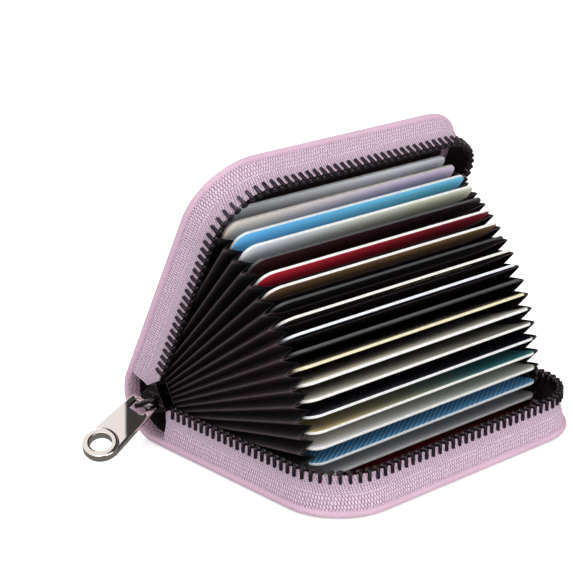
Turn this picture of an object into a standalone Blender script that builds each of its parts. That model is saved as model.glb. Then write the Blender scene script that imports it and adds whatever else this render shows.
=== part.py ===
"""Zip-around accordion card wallet, standing open with its pockets fanned.

The bottom cover lies on the table. The spine runs along X, the mouth faces -Y.
Every moving layer turns about one line, where the two zip strands meet at the slider.
"""

from math import atan2, ceil, cos, floor, pi, radians, sin, sqrt

import bmesh
import bpy
from mathutils import Matrix, Vector

MM = 0.001

# Cards, the standard bank card size
CARD_LENGTH = 85.6 * MM
CARD_WIDTH = 53.98 * MM
CARD_THICKNESS = 0.76 * MM
CARD_CORNER_RADIUS = 3.18 * MM
CARD_BACK_REACH = 5.82 * MM
CARD_STAGGER = 1.8 * MM
LOWEST_CARD_REACH = CARD_BACK_REACH + CARD_WIDTH

# Accordion
POCKET_COUNT = 20
POCKET_SLACK = 0.11 * MM
OPENING_ANGLE = radians(62.0)
LEAF_THICKNESS = 0.2 * MM
LEAF_BACK_REACH = 4.2 * MM
CARD_SHOW = 2.8 * MM
POCKET_SIDE_ROOM = 3.5 * MM
GUSSET_BACK_REACH = 7.0 * MM
PLEAT_SLOPE = 2.8
GUSSET_THICKNESS = 0.2 * MM
BACKING_THICKNESS = 0.4 * MM
LEAF_EDGE_CLEARANCE = 0.3 * MM
POCKET_PITCH = CARD_THICKNESS + LEAF_THICKNESS + POCKET_SLACK
LEAF_MOUTH_REACH = LOWEST_CARD_REACH - CARD_SHOW
RIDGE_HALF_WIDTH = CARD_LENGTH / 2 + POCKET_SIDE_ROOM

# Covers
RIDGE_TO_EDGE = 3.7 * MM
MOUTH_ROOM = 13.4 * MM
COVER_LENGTH = 2 * (RIDGE_HALF_WIDTH + RIDGE_TO_EDGE)
COVER_DEPTH = LOWEST_CARD_REACH + CARD_STAGGER + MOUTH_ROOM
COVER_CORNER_RADIUS = 18.0 * MM
COVER_THICKNESS = 2.0 * MM
LEATHER_THICKNESS = 1.1 * MM
HEM_WIDTH = 4.5 * MM
EDGE_ROUNDING = 0.5 * MM
LAYER_GAP = 0.15 * MM
SEAT_GAP = 0.3 * MM
LINING_THICKNESS = 0.5 * MM

# Zip tape and teeth
TAPE_THICKNESS = 0.7 * MM
TAPE_BASE_INSET = 1.2 * MM
TAPE_TOP_INSET = 2.2 * MM
TAPE_KNEE_DEPTH = 5.5 * MM
TAPE_TOP_DEPTH = 1.5 * MM
TAPE_END_REACH = 1.0 * MM
TAPE_TAPER_REACH = 6.0 * MM
TAPE_END_DEPTH = 4.7 * MM
TOOTH_PITCH = 2.5 * MM
TOOTH_LENGTH = 1.1 * MM
TOOTH_HALF_WIDTH = 1.0 * MM
TOOTH_LEG_DEPTH = 3.5 * MM
TOOTH_CHAMFER = 0.5 * MM
CHAIN_HALF_GAP = 0.12 * MM
TEETH_START_REACH = 6.6 * MM
END_STOP_LENGTH = 2.2 * MM

# Slider
SLIDER_FRONT_REACH = 5.2 * MM
SLIDER_REAR_REACH = 3.8 * MM
SLIDER_FRONT_HALF_HEIGHT = 4.2 * MM
SLIDER_REAR_HALF_HEIGHT = 2.9 * MM
SLIDER_PLATE_THICKNESS = 1.0 * MM
SLIDER_CORNER_RADIUS = 1.4 * MM
SLIDER_FLANGE_HEIGHT = 0.8 * MM
SLIDER_FLANGE_FRONT_REACH = 4.4 * MM
SLIDER_POST_FRONT_REACH = 4.2 * MM
SLIDER_POST_REAR_REACH = -0.6 * MM
SLIDER_POST_HALF_WIDTH = 1.1 * MM
SLIDER_TURN_SHARE = 0.5

# Arched loop on the slider, and the pull that hangs in it
ARCH_LENGTH = 8.4 * MM
ARCH_RISE = 4.7 * MM
ARCH_WIRE_RADIUS = 0.75 * MM
PULL_LENGTH = 18.4 * MM
PULL_DROOP = radians(20.0)
PULL_TWIST = radians(22.0)
PULL_SWAY = radians(8.0)
PULL_END_WIDTH = 8.2 * MM
PULL_PLATE_THICKNESS = 1.2 * MM
PULL_THICKENING = 0.5 * MM
PULL_CROSSBAR_WIDTH = 1.2 * MM
PULL_SLOT_LENGTH = 3.6 * MM
PULL_SLOT_WIDTH = 5.2 * MM
PULL_LOOP_CLEARANCE = 0.4 * MM
RING_OUTER_RADIUS = 5.0 * MM
RING_HOLE_RADIUS = 3.1 * MM
RING_THICKNESS = 2.6 * MM
RING_CHAMFER = 0.35 * MM

# Facets
CORNER_STEPS = 8
CARD_CORNER_STEPS = 3
SPINE_STEPS = 16
ROUND_SIDES = 28
ARCH_STEPS = 9

# Worked out from the sizes above
INNER_HALF_HEIGHT = POCKET_COUNT * POCKET_PITCH / 2
HALF_HEIGHT = INNER_HALF_HEIGHT + COVER_THICKNESS
AXIS = Vector((0.0, COVER_DEPTH / 2, HALF_HEIGHT))
TAPE_HALF_LENGTH = COVER_LENGTH / 2 - TAPE_TOP_INSET
SLIDER_INNER_HALF = TOOTH_HALF_WIDTH + SEAT_GAP
SLIDER_OUTER_HALF = SLIDER_INNER_HALF + SLIDER_PLATE_THICKNESS

CARD_LOOKS = [
    ("dark_red", (0.25, 0.02, 0.03)),
    ("grey", (0.35, 0.36, 0.38)),
    ("striped_blue", (0.15, 0.35, 0.62)),
    ("pale_grey", (0.72, 0.73, 0.75)),
    ("teal", (0.10, 0.42, 0.45)),
    ("midnight", (0.02, 0.02, 0.05)),
    ("mid_grey", (0.45, 0.46, 0.48)),
    ("white", (0.85, 0.85, 0.85)),
    ("cream", (0.82, 0.78, 0.62)),
    ("charcoal", (0.06, 0.06, 0.07)),
    ("navy", (0.03, 0.06, 0.15)),
    ("dark_brown", (0.10, 0.05, 0.04)),
    ("black", (0.02, 0.02, 0.02)),
    ("brown", (0.25, 0.15, 0.10)),
    ("crimson", (0.35, 0.03, 0.05)),
    ("gloss_black", (0.03, 0.03, 0.04)),
    ("silver", (0.62, 0.66, 0.60)),
    ("sky_blue", (0.15, 0.45, 0.70)),
    ("lilac", (0.60, 0.52, 0.58)),
    ("blue_grey", (0.42, 0.46, 0.52)),
]


def clear_scene():
    for thing in list(bpy.data.objects):
        bpy.data.objects.remove(thing, do_unlink=True)


def new_collection(name, parent):
    group = bpy.data.collections.new(name)
    parent.children.link(group)
    return group


clear_scene()
WALLET = new_collection("accordion_card_wallet", bpy.context.scene.collection)
CUTTERS = new_collection("cutters", bpy.context.scene.collection)


def make_material(name, colour, roughness, metallic=0.0):
    material = bpy.data.materials.new(name)
    material.use_nodes = True
    shader = material.node_tree.nodes["Principled BSDF"]
    shader.inputs["Base Color"].default_value = (*colour, 1.0)
    shader.inputs["Roughness"].default_value = roughness
    shader.inputs["Metallic"].default_value = metallic
    return material


def leather_material(name):
    return make_material(name, (0.48, 0.30, 0.42), 0.5)


def tape_material(name):
    return make_material(name, (0.62, 0.40, 0.56), 0.8)


def bellows_material(name):
    return make_material(name, (0.035, 0.02, 0.025), 0.6)


def gunmetal_material(name):
    return make_material(name, (0.10, 0.10, 0.11), 0.3, 1.0)


def hinge_empty(name, angle):
    """An empty on the hinge line, turned open by the angle."""
    empty = bpy.data.objects.new(name, None)
    empty.location = AXIS
    empty.rotation_euler = (-angle, 0.0, 0.0)
    WALLET.objects.link(empty)
    return empty


def add_piece(name, mesh, material, parent):
    mesh.name = name
    mesh.materials.clear()
    mesh.materials.append(material)
    piece = bpy.data.objects.new(name, mesh)
    WALLET.objects.link(piece)
    piece.parent = parent
    return piece


def add_cutter(name, mesh, parent):
    cutter = bpy.data.objects.new(name, mesh)
    CUTTERS.objects.link(cutter)
    cutter.parent = parent
    cutter.display_type = "WIRE"
    cutter.hide_render = True
    return cutter


def add_boolean(piece, cutter, operation):
    modifier = piece.modifiers.new(cutter.name, "BOOLEAN")
    modifier.operation = operation
    modifier.object = cutter
    modifier.solver = "EXACT"


def add_solidify(piece, thickness):
    modifier = piece.modifiers.new("wall", "SOLIDIFY")
    modifier.thickness = thickness
    modifier.offset = 0.0
    modifier.use_even_offset = True


def mesh_from_bmesh(name, bm):
    bmesh.ops.recalc_face_normals(bm, faces=bm.faces)
    mesh = bpy.data.meshes.new(name)
    bm.to_mesh(mesh)
    bm.free()
    return mesh


def slab_mesh(name, outline, thickness, middle=0.0):
    """A flat plate with the given XY outline, its middle at the given height."""
    curve = bpy.data.curves.new(name + "_outline", "CURVE")
    curve.dimensions = "2D"
    curve.fill_mode = "BOTH"
    curve.extrude = thickness / 2
    spline = curve.splines.new("POLY")
    spline.points.add(len(outline) - 1)
    spline.use_cyclic_u = True
    for point, (x, y) in zip(spline.points, outline):
        point.co = (x, y, 0.0, 1.0)
    guide = bpy.data.objects.new(name + "_outline", curve)
    CUTTERS.objects.link(guide)
    graph = bpy.context.evaluated_depsgraph_get()
    flat = bpy.data.meshes.new_from_object(guide.evaluated_get(graph))
    bpy.data.objects.remove(guide, do_unlink=True)
    bm = bmesh.new()
    bm.from_mesh(flat)
    bmesh.ops.remove_doubles(bm, verts=bm.verts, dist=1e-6)
    bmesh.ops.translate(bm, verts=bm.verts, vec=(0.0, 0.0, middle))
    return mesh_from_bmesh(name, bm)


def box_mesh(name, low, high):
    low, high = Vector(low), Vector(high)
    bm = bmesh.new()
    bmesh.ops.create_cube(bm, size=1.0)
    bmesh.ops.scale(bm, verts=bm.verts, vec=high - low)
    bmesh.ops.translate(bm, verts=bm.verts, vec=(low + high) / 2)
    return mesh_from_bmesh(name, bm)


def mirrored(mesh, name):
    """The same layer of the other cover, mirrored in the plane of the zip."""
    other = mesh.copy()
    other.name = name
    other.transform(Matrix.Scale(-1.0, 4, (0.0, 0.0, 1.0)))
    other.flip_normals()
    return other


def arc_points(centre, radius, start, end, steps):
    points = []
    for i in range(steps + 1):
        angle = start + (end - start) * i / steps
        points.append((centre[0] + radius * cos(angle), centre[1] + radius * sin(angle)))
    return points


def cover_outline(inset, back_reach):
    """A cover seen from above: round corners at the mouth, straight at the spine."""
    half = COVER_LENGTH / 2 - inset
    mouth = -(COVER_DEPTH - inset)
    radius = COVER_CORNER_RADIUS - inset
    left = arc_points((-half + radius, mouth + radius), radius, pi, 1.5 * pi, CORNER_STEPS)
    right = arc_points((half - radius, mouth + radius), radius, 1.5 * pi, 2 * pi, CORNER_STEPS)
    return [(-half, -back_reach), *left, *right, (half, -back_reach)]


def rounded_rectangle(half_length, near, far, radius, steps):
    """A card seen from above, from its mouth edge (near) to its inner edge (far)."""
    corners = [
        ((-half_length + radius, -near + radius), pi),
        ((half_length - radius, -near + radius), 1.5 * pi),
        ((half_length - radius, -far - radius), 0.0),
        ((-half_length + radius, -far - radius), 0.5 * pi),
    ]
    outline = []
    for centre, start in corners:
        outline += arc_points(centre, radius, start, start + pi / 2, steps)
    return outline


def leaf_angle(index):
    """How far leaf number index stands open; 0 is the bottom cover."""
    return OPENING_ANGLE * index / POCKET_COUNT


def leaf_offset(index):
    """How far leaf number index lies from the hinge line, square to the leaf."""
    return -INNER_HALF_HEIGHT + POCKET_PITCH * index


def fan_point(index, reach, x=0.0, lift=0.0):
    """A point of the fan, measured from the hinge line at that leaf's own angle."""
    angle = leaf_angle(index)
    offset = leaf_offset(index) + lift
    y = -(reach * cos(angle) - offset * sin(angle))
    z = offset * cos(angle) + reach * sin(angle)
    return Vector((x, y, z))


def weight_round_edges(mesh):
    """Mark the rim edges of a cover that are rounded: all but the spine side."""
    weights = mesh.attributes.new("bevel_weight_edge", "FLOAT", "EDGE")
    for edge in mesh.edges:
        ends = [mesh.vertices[i].co for i in edge.vertices]
        flat = abs(ends[0].z - ends[1].z) < 1e-7
        at_spine = all(end.y > -SEAT_GAP * 2 for end in ends)
        outer = all(end.z < -HALF_HEIGHT + COVER_THICKNESS / 2 for end in ends)
        weights.data[edge.index].value = 1.0 if flat and outer and not at_spine else 0.0


def cover_leather_mesh():
    middle = -HALF_HEIGHT + COVER_THICKNESS / 2
    mesh = slab_mesh("cover_leather", cover_outline(0.0, SEAT_GAP), COVER_THICKNESS, middle)
    weight_round_edges(mesh)
    return mesh


def lining_bed_mesh():
    """The bed in the leather, inside its turned hem, that takes board and lining."""
    depth = COVER_THICKNESS - LEATHER_THICKNESS
    outline = cover_outline(HEM_WIDTH, -COVER_THICKNESS)
    return slab_mesh("lining_bed", outline, depth * 2, -INNER_HALF_HEIGHT)


def cover_lining_mesh():
    bed_depth = COVER_THICKNESS - LEATHER_THICKNESS
    thickness = bed_depth - LAYER_GAP
    outline = cover_outline(HEM_WIDTH + SEAT_GAP, SEAT_GAP)
    return slab_mesh("cover_lining", outline, thickness, -INNER_HALF_HEIGHT - thickness / 2)


def make_cover(side, axis, leather, lining, bed):
    piece = add_piece(side + "_cover_leather", leather, leather_material(side + "_leather"), axis)
    bevel = piece.modifiers.new("turned_edge", "BEVEL")
    bevel.limit_method = "WEIGHT"
    bevel.width = EDGE_ROUNDING
    bevel.segments = 2
    add_boolean(piece, add_cutter(side + "_lining_bed", bed, axis), "DIFFERENCE")
    add_piece(side + "_cover_panel", lining, bellows_material(side + "_panel"), axis)


def make_covers(bottom_axis, top_axis):
    leather, lining, bed = cover_leather_mesh(), cover_lining_mesh(), lining_bed_mesh()
    make_cover("bottom", bottom_axis, leather, lining, bed)
    make_cover(
        "top",
        top_axis,
        mirrored(leather, "top_cover_leather"),
        mirrored(lining, "top_cover_lining"),
        mirrored(bed, "top_bed"),
    )


def swept_strip(name, profile, half_length):
    """An open strip: a YZ profile swept along X."""
    bm = bmesh.new()
    row = [bm.verts.new((-half_length, y, z)) for y, z in profile]
    chain = [bm.edges.new(pair) for pair in zip(row, row[1:])]
    swept = bmesh.ops.extrude_edge_only(bm, edges=chain)["geom"]
    moved = [v for v in swept if isinstance(v, bmesh.types.BMVert)]
    bmesh.ops.translate(bm, verts=moved, vec=(2 * half_length, 0.0, 0.0))
    return mesh_from_bmesh(name, bm)


def loft(name, rows):
    """An open sheet through rows of points, one row after the other."""
    bm = bmesh.new()
    lines = [[bm.verts.new(point) for point in row] for row in rows]
    for low, high in zip(lines, lines[1:]):
        for i in range(len(low) - 1):
            bm.faces.new((low[i], low[i + 1], high[i + 1], high[i]))
    return mesh_from_bmesh(name, bm)


def make_spine(axis):
    leather_middle = HALF_HEIGHT - LEATHER_THICKNESS / 2
    lining_middle = HALF_HEIGHT - LEATHER_THICKNESS - LAYER_GAP - LINING_THICKNESS / 2
    layers = [
        ("spine_leather", leather_middle, LEATHER_THICKNESS, COVER_LENGTH / 2, leather_material),
        ("spine_lining", lining_middle, LINING_THICKNESS, COVER_LENGTH / 2 - HEM_WIDTH, bellows_material),
    ]
    for name, radius, thickness, half_length, look in layers:
        profile = arc_points((0.0, 0.0), radius, -pi / 2, pi / 2 - OPENING_ANGLE, SPINE_STEPS)
        mesh = swept_strip(name, profile, half_length)
        mesh.shade_smooth()
        piece = add_piece(name, mesh, look(name), axis)
        add_solidify(piece, thickness)


def wall_path(inset):
    """Points along the zip, from the left end of the spine round the mouth to the right."""
    half = COVER_LENGTH / 2 - inset
    mouth = -(COVER_DEPTH - inset)
    radius = COVER_CORNER_RADIUS - inset
    ends = [-TAPE_END_REACH, -TAPE_TAPER_REACH]
    left = arc_points((-half + radius, mouth + radius), radius, pi, 1.5 * pi, CORNER_STEPS)
    right = arc_points((half - radius, mouth + radius), radius, 1.5 * pi, 2 * pi, CORNER_STEPS)
    return [*[(-half, y) for y in ends], *left, *right, *[(half, y) for y in reversed(ends)]]


def tape_mesh(name):
    """The tape's middle surface: up from the hem, leaning in, then upright to the teeth."""
    base = [(x, y, -INNER_HALF_HEIGHT + SEAT_GAP) for x, y in wall_path(TAPE_BASE_INSET)]
    path = wall_path(TAPE_TOP_INSET)
    knee = [(x, y, -TAPE_KNEE_DEPTH) for x, y in path]
    top = [(x, y, -TAPE_TOP_DEPTH) for x, y in path]
    for end in (0, -1):
        top[end] = (*path[end], -TAPE_END_DEPTH)
    return loft(name, [base, knee, top])


def clamp_profile(inner):
    """A clamp over the tape's edge, seen along the tape; inner is half its slot."""
    outer = TOOTH_HALF_WIDTH
    crown = -CHAIN_HALF_GAP
    bridge = -TAPE_TOP_DEPTH + SEAT_GAP
    foot = -TOOTH_LEG_DEPTH
    head = [
        (outer, foot),
        (outer, crown - TOOTH_CHAMFER),
        (outer - TOOTH_CHAMFER, crown),
        (TOOTH_CHAMFER - outer, crown),
        (-outer, crown - TOOTH_CHAMFER),
        (-outer, foot),
    ]
    slot = [(-inner, foot), (-inner, bridge), (inner, bridge), (inner, foot)]
    return head + slot if inner > 0.0 else head


def clamp_mesh(name, inner, length):
    """One clamp at the origin: X across the tape, Y along it, Z up."""
    mesh = slab_mesh(name, clamp_profile(inner), length)
    mesh.transform(Matrix.Rotation(pi / 2, 4, "X"))
    return mesh


def side_length():
    """Straight run of the zip along one short side, from the first tooth to the corner."""
    return COVER_DEPTH - COVER_CORNER_RADIUS - TEETH_START_REACH


def chain_place(distance):
    """Place and heading of the zip edge at a distance along it from its left end."""
    radius = COVER_CORNER_RADIUS - TAPE_TOP_INSET
    half = TAPE_HALF_LENGTH
    mouth = -(COVER_DEPTH - TAPE_TOP_INSET)
    turn = radius * pi / 2
    front = 2 * (half - radius)
    if distance < side_length():
        return -half, -TEETH_START_REACH - distance, pi
    distance -= side_length()
    if distance < turn:
        angle = pi + distance / radius
        return -half + radius + radius * cos(angle), mouth + radius + radius * sin(angle), angle
    distance -= turn
    if distance < front:
        return -half + radius + distance, mouth, 1.5 * pi
    distance -= front
    if distance < turn:
        angle = 1.5 * pi + distance / radius
        return half - radius + radius * cos(angle), mouth + radius + radius * sin(angle), angle
    distance -= turn
    return half, mouth + radius + distance, 2 * pi


def chain_length():
    radius = COVER_CORNER_RADIUS - TAPE_TOP_INSET
    return 2 * side_length() + pi * radius + 2 * (TAPE_HALF_LENGTH - radius)


def repeat_along_chain(name, mesh, distances):
    """Copies of a clamp along the zip edge, as separate bodies of one mesh."""
    bm = bmesh.new()
    for distance in distances:
        x, y, heading = chain_place(distance)
        place = Matrix.Translation((x, y, 0.0)) @ Matrix.Rotation(heading, 4, "Z")
        copy = mesh.copy()
        copy.transform(place)
        bm.from_mesh(copy)
        bpy.data.meshes.remove(copy)
    joined = bpy.data.meshes.new(name)
    bm.to_mesh(joined)
    bm.free()
    return joined


def stop_distance():
    """Where the end stop sits, at the right end of the zip."""
    return chain_length() - END_STOP_LENGTH / 2


def teeth_distances(shift):
    """Where the teeth sit; shift is the share of a pitch by which a strand starts late."""
    usable = stop_distance() - END_STOP_LENGTH / 2 - TOOTH_PITCH
    return [TOOTH_PITCH * (i + shift) for i in range(int(usable / TOOTH_PITCH))]


def make_strand(side, axis, mirror, shift):
    """One half of the zip: the tape with its row of metal teeth, and its end stop."""
    tape = tape_mesh(side + "_zip_strand")
    tooth = clamp_mesh("tooth", 0.0, TOOTH_LENGTH)
    teeth = repeat_along_chain(side + "_zip_teeth", tooth, teeth_distances(shift))
    stop_slot = TAPE_THICKNESS / 2 + SEAT_GAP
    stop = clamp_mesh("stop", stop_slot, END_STOP_LENGTH)
    stop = repeat_along_chain(side + "_end_stop", stop, [stop_distance()])
    if mirror:
        tape, teeth, stop = [mirrored(mesh, mesh.name) for mesh in (tape, teeth, stop)]
    strand = add_piece(side + "_zip_strand", tape, tape_material(side + "_tape"), axis)
    add_solidify(strand, TAPE_THICKNESS)
    add_boolean(strand, add_cutter(side + "_zip_teeth", teeth, axis), "UNION")
    add_piece(side + "_end_stop", stop, gunmetal_material(side + "_stop_metal"), axis)


def make_zip(bottom_axis, top_axis):
    make_strand("bottom", bottom_axis, False, 0.5)
    make_strand("top", top_axis, True, 1.0)


def slider_outline(front, rear, front_half, rear_half):
    """A slider plate: broad shoulders at the front, drawn in towards the rear."""
    radius = SLIDER_CORNER_RADIUS
    outline = arc_points((-front + radius, front_half - radius), radius, pi, pi / 2, 3)
    outline += arc_points((rear - radius, rear_half - radius), radius, pi / 2, 0, 3)
    outline += arc_points((rear - radius, radius - rear_half), radius, 0, -pi / 2, 3)
    outline += arc_points((-front + radius, radius - front_half), radius, -pi / 2, -pi, 3)
    return outline


def upright(mesh, x):
    """Stand a plate drawn in XY up across X: its X becomes Y, its Y becomes Z."""
    mesh.transform(Matrix(((0, 0, 1, x), (1, 0, 0, 0), (0, 1, 0, 0), (0, 0, 0, 1))))
    return mesh


def slider_flange_mesh(name, low_x, high_x, side):
    """The plate's long edge, bent in towards the tape; side is 1 above, -1 below."""
    rise = (SLIDER_FRONT_HALF_HEIGHT - SLIDER_REAR_HALF_HEIGHT) * side
    mesh = box_mesh(
        name,
        (low_x, -SLIDER_FLANGE_FRONT_REACH, 0.0),
        (high_x, SLIDER_REAR_REACH - SLIDER_CORNER_RADIUS, SLIDER_FLANGE_HEIGHT),
    )
    length = SLIDER_FRONT_REACH + SLIDER_REAR_REACH
    for vertex in mesh.vertices:
        along = (SLIDER_REAR_REACH - vertex.co.y) / length
        edge = SLIDER_REAR_HALF_HEIGHT * side + rise * along
        height = vertex.co.z if side < 0 else vertex.co.z - SLIDER_FLANGE_HEIGHT
        vertex.co.z = edge + height - side * LAYER_GAP
    return mesh


def arch_mesh():
    """The loop on the slider's face: a wire bent over in a half ellipse."""
    curve = bpy.data.curves.new("slider_arch", "CURVE")
    curve.dimensions = "3D"
    curve.bevel_depth = ARCH_WIRE_RADIUS
    curve.bevel_resolution = 1
    curve.use_fill_caps = True
    half = ARCH_LENGTH / 2 - ARCH_WIRE_RADIUS
    rise = ARCH_RISE - ARCH_WIRE_RADIUS
    root = -SLIDER_PLATE_THICKNESS / 2
    angles = [pi * i / ARCH_STEPS for i in range(ARCH_STEPS + 1)]
    bow = [(rise * sin(angle), -half * cos(angle)) for angle in angles]
    points = [(root, -half), *bow, (root, half)]
    spline = curve.splines.new("POLY")
    spline.points.add(len(points) - 1)
    for point, (out, along) in zip(spline.points, points):
        point.co = (-TAPE_HALF_LENGTH - SLIDER_OUTER_HALF - out, along, 0.0, 1.0)
    guide = bpy.data.objects.new("slider_arch", curve)
    CUTTERS.objects.link(guide)
    graph = bpy.context.evaluated_depsgraph_get()
    mesh = bpy.data.meshes.new_from_object(guide.evaluated_get(graph))
    bpy.data.objects.remove(guide, do_unlink=True)
    bm = bmesh.new()
    bm.from_mesh(mesh)
    bmesh.ops.remove_doubles(bm, verts=bm.verts, dist=1e-6)
    return mesh_from_bmesh("slider_arch", bm)


def make_slider(axis):
    tape_x = -TAPE_HALF_LENGTH
    slot = TAPE_THICKNESS / 2 + SEAT_GAP
    plate = slider_outline(
        SLIDER_FRONT_REACH, SLIDER_REAR_REACH, SLIDER_FRONT_HALF_HEIGHT, SLIDER_REAR_HALF_HEIGHT
    )
    middle = (SLIDER_INNER_HALF + SLIDER_OUTER_HALF) / 2
    outer = upright(slab_mesh("slider_body", plate, SLIDER_PLATE_THICKNESS), tape_x - middle)
    body = add_piece("slider_body", outer, gunmetal_material("slider_metal"), axis)
    post = [
        (-SLIDER_POST_FRONT_REACH, 0.0),
        (-SLIDER_POST_FRONT_REACH / 2, SLIDER_POST_HALF_WIDTH),
        (-SLIDER_POST_REAR_REACH, SLIDER_POST_HALF_WIDTH / 2),
        (-SLIDER_POST_REAR_REACH, -SLIDER_POST_HALF_WIDTH / 2),
        (-SLIDER_POST_FRONT_REACH / 2, -SLIDER_POST_HALF_WIDTH),
    ]
    additions = [
        upright(slab_mesh("inner_plate", plate, SLIDER_PLATE_THICKNESS), tape_x + middle),
        upright(slab_mesh("post", post, SLIDER_INNER_HALF * 2 + SLIDER_PLATE_THICKNESS), tape_x),
        arch_mesh(),
    ]
    sunk = SLIDER_INNER_HALF + SLIDER_PLATE_THICKNESS / 2
    for side in (1, -1):
        above = "upper" if side > 0 else "lower"
        additions.append(slider_flange_mesh(above + "_outer_flange", tape_x - sunk, tape_x - slot, side))
        additions.append(slider_flange_mesh(above + "_inner_flange", tape_x + slot, tape_x + sunk, side))
    for mesh in additions:
        add_boolean(body, add_cutter(mesh.name + "_body", mesh, axis), "UNION")


def pull_outline():
    """The pull from above: square at the loop, round at the ring, sides tangent to it."""
    half = PULL_END_WIDTH / 2
    lean = atan2(RING_OUTER_RADIUS - half, PULL_LENGTH)
    end = -PULL_CROSSBAR_WIDTH / 2
    ring = arc_points((PULL_LENGTH, 0.0), RING_OUTER_RADIUS, -pi / 2 - lean, pi / 2 + lean, ROUND_SIDES // 2)
    corner = PULL_CROSSBAR_WIDTH / 2
    return [(end, -half + corner), (end + corner, -half), *ring, (end + corner, half), (end, half - corner)]


def disc_mesh(name, radius, low, high, sides):
    bm = bmesh.new()
    bmesh.ops.create_cone(
        bm, cap_ends=True, segments=sides, radius1=radius, radius2=radius, depth=high - low
    )
    bmesh.ops.translate(bm, verts=bm.verts, vec=(PULL_LENGTH, 0.0, (low + high) / 2))
    return mesh_from_bmesh(name, bm)


def ring_mesh():
    """The raised ring at the pull's end, chamfered round its face."""
    foot = -PULL_PLATE_THICKNESS / 2
    face = foot + RING_THICKNESS
    mesh = disc_mesh("pull_ring", RING_OUTER_RADIUS, foot, face, ROUND_SIDES)
    bm = bmesh.new()
    bm.from_mesh(mesh)
    rim = [e for e in bm.edges if all(v.co.z > face - 1e-6 for v in e.verts)]
    bmesh.ops.bevel(bm, geom=rim, offset=RING_CHAMFER, segments=1, affect="EDGES")
    return mesh_from_bmesh("pull_ring", bm)


def pull_plate_mesh():
    """The plate, thicker towards the ring."""
    mesh = slab_mesh("slider_pull", pull_outline(), PULL_PLATE_THICKNESS)
    for vertex in mesh.vertices:
        if vertex.co.z > 0.0:
            vertex.co.z += PULL_THICKENING * max(vertex.co.x, 0.0) / PULL_LENGTH
    return mesh


def pull_empty():
    """The pull's crossbar, just inside the crown of the arch."""
    empty = bpy.data.objects.new("pull_crossbar_axis", None)
    WALLET.objects.link(empty)
    crown = TAPE_HALF_LENGTH + SLIDER_OUTER_HALF + ARCH_RISE - ARCH_WIRE_RADIUS
    reach = PULL_CROSSBAR_WIDTH / sqrt(2) + ARCH_WIRE_RADIUS + PULL_LOOP_CLEARANCE
    place = AXIS + Vector((-crown + reach, 0.0, 0.0))
    droop = Matrix.Rotation(-PULL_DROOP, 4, "Y")
    twist = Matrix.Rotation(PULL_TWIST, 4, "X")
    outward = Matrix.Rotation(pi + PULL_SWAY, 4, "Z")
    empty.matrix_world = Matrix.Translation(place) @ droop @ twist @ outward
    return empty


def make_pull():
    crossbar = pull_empty()
    pull = add_piece("slider_pull", pull_plate_mesh(), gunmetal_material("pull_metal"), crossbar)
    reach = PULL_PLATE_THICKNESS * 3
    hole = disc_mesh("pull_hole", RING_HOLE_RADIUS, -reach, reach, ROUND_SIDES)
    slot_start = PULL_CROSSBAR_WIDTH / 2
    slot = box_mesh(
        "pull_slot",
        (slot_start, -PULL_SLOT_WIDTH / 2, -reach),
        (slot_start + PULL_SLOT_LENGTH, PULL_SLOT_WIDTH / 2, reach),
    )
    add_boolean(pull, add_cutter("pull_ring_body", ring_mesh(), crossbar), "UNION")
    add_boolean(pull, add_cutter("pull_ring_hole", hole, crossbar), "DIFFERENCE")
    add_boolean(pull, add_cutter("pull_end_slot", slot, crossbar), "DIFFERENCE")


def pocket_gap(reach):
    """Distance between neighbouring leaves at this reach from the hinge line."""
    return POCKET_PITCH + 2 * reach * sin(OPENING_ANGLE / POCKET_COUNT / 2)


def fold_depth(gap):
    """How far a side gusset's fold comes in between two ridges this far apart."""
    return PLEAT_SLOPE * gap / 2


def leaf_half_width():
    """Where a leaf's side edges end, inside the ridges of the gussets folded round it."""
    fold_wall = GUSSET_THICKNESS / 2 / sin(atan2(1.0, PLEAT_SLOPE))
    leaf_wall = (LEAF_THICKNESS / 2 + LEAF_EDGE_CLEARANCE) * PLEAT_SLOPE
    return RIDGE_HALF_WIDTH - fold_wall - leaf_wall


def make_leaves(axes):
    """The dividers between pockets, each turning by its own share of the opening."""
    back, mouth, half = LEAF_BACK_REACH, LEAF_MOUTH_REACH, leaf_half_width()
    outline = [(-half, -back), (-half, -mouth), (half, -mouth), (half, -back)]
    for index in range(1, POCKET_COUNT):
        name = f"leaf_{index:02d}"
        mesh = slab_mesh(name, outline, LEAF_THICKNESS, leaf_offset(index))
        add_piece(name, mesh, bellows_material(name), axes[index])


def card_reach(index):
    """How far a card's mouth edge lies from the hinge line, a little more for each layer."""
    return LOWEST_CARD_REACH + CARD_STAGGER * index / (POCKET_COUNT - 1)


def card_middle(index):
    """A card lies midway between its leaf and the next one, as it does in the shut wallet."""
    return leaf_offset(index) + POCKET_PITCH / 2


def make_cards(axes):
    for index, (look, colour) in enumerate(CARD_LOOKS):
        name = f"card_{index + 1:02d}"
        near = card_reach(index)
        outline = rounded_rectangle(
            CARD_LENGTH / 2, near, near - CARD_WIDTH, CARD_CORNER_RADIUS, CARD_CORNER_STEPS
        )
        mesh = slab_mesh(name, outline, CARD_THICKNESS, card_middle(index))
        add_piece(name, mesh, make_material("card_" + look, colour, 0.3), axes[index])


def ridge_lift(index):
    """The first and last ridges stand clear of the cover linings."""
    if index == 0:
        return SEAT_GAP
    if index == POCKET_COUNT:
        return -SEAT_GAP
    return 0.0


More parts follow.
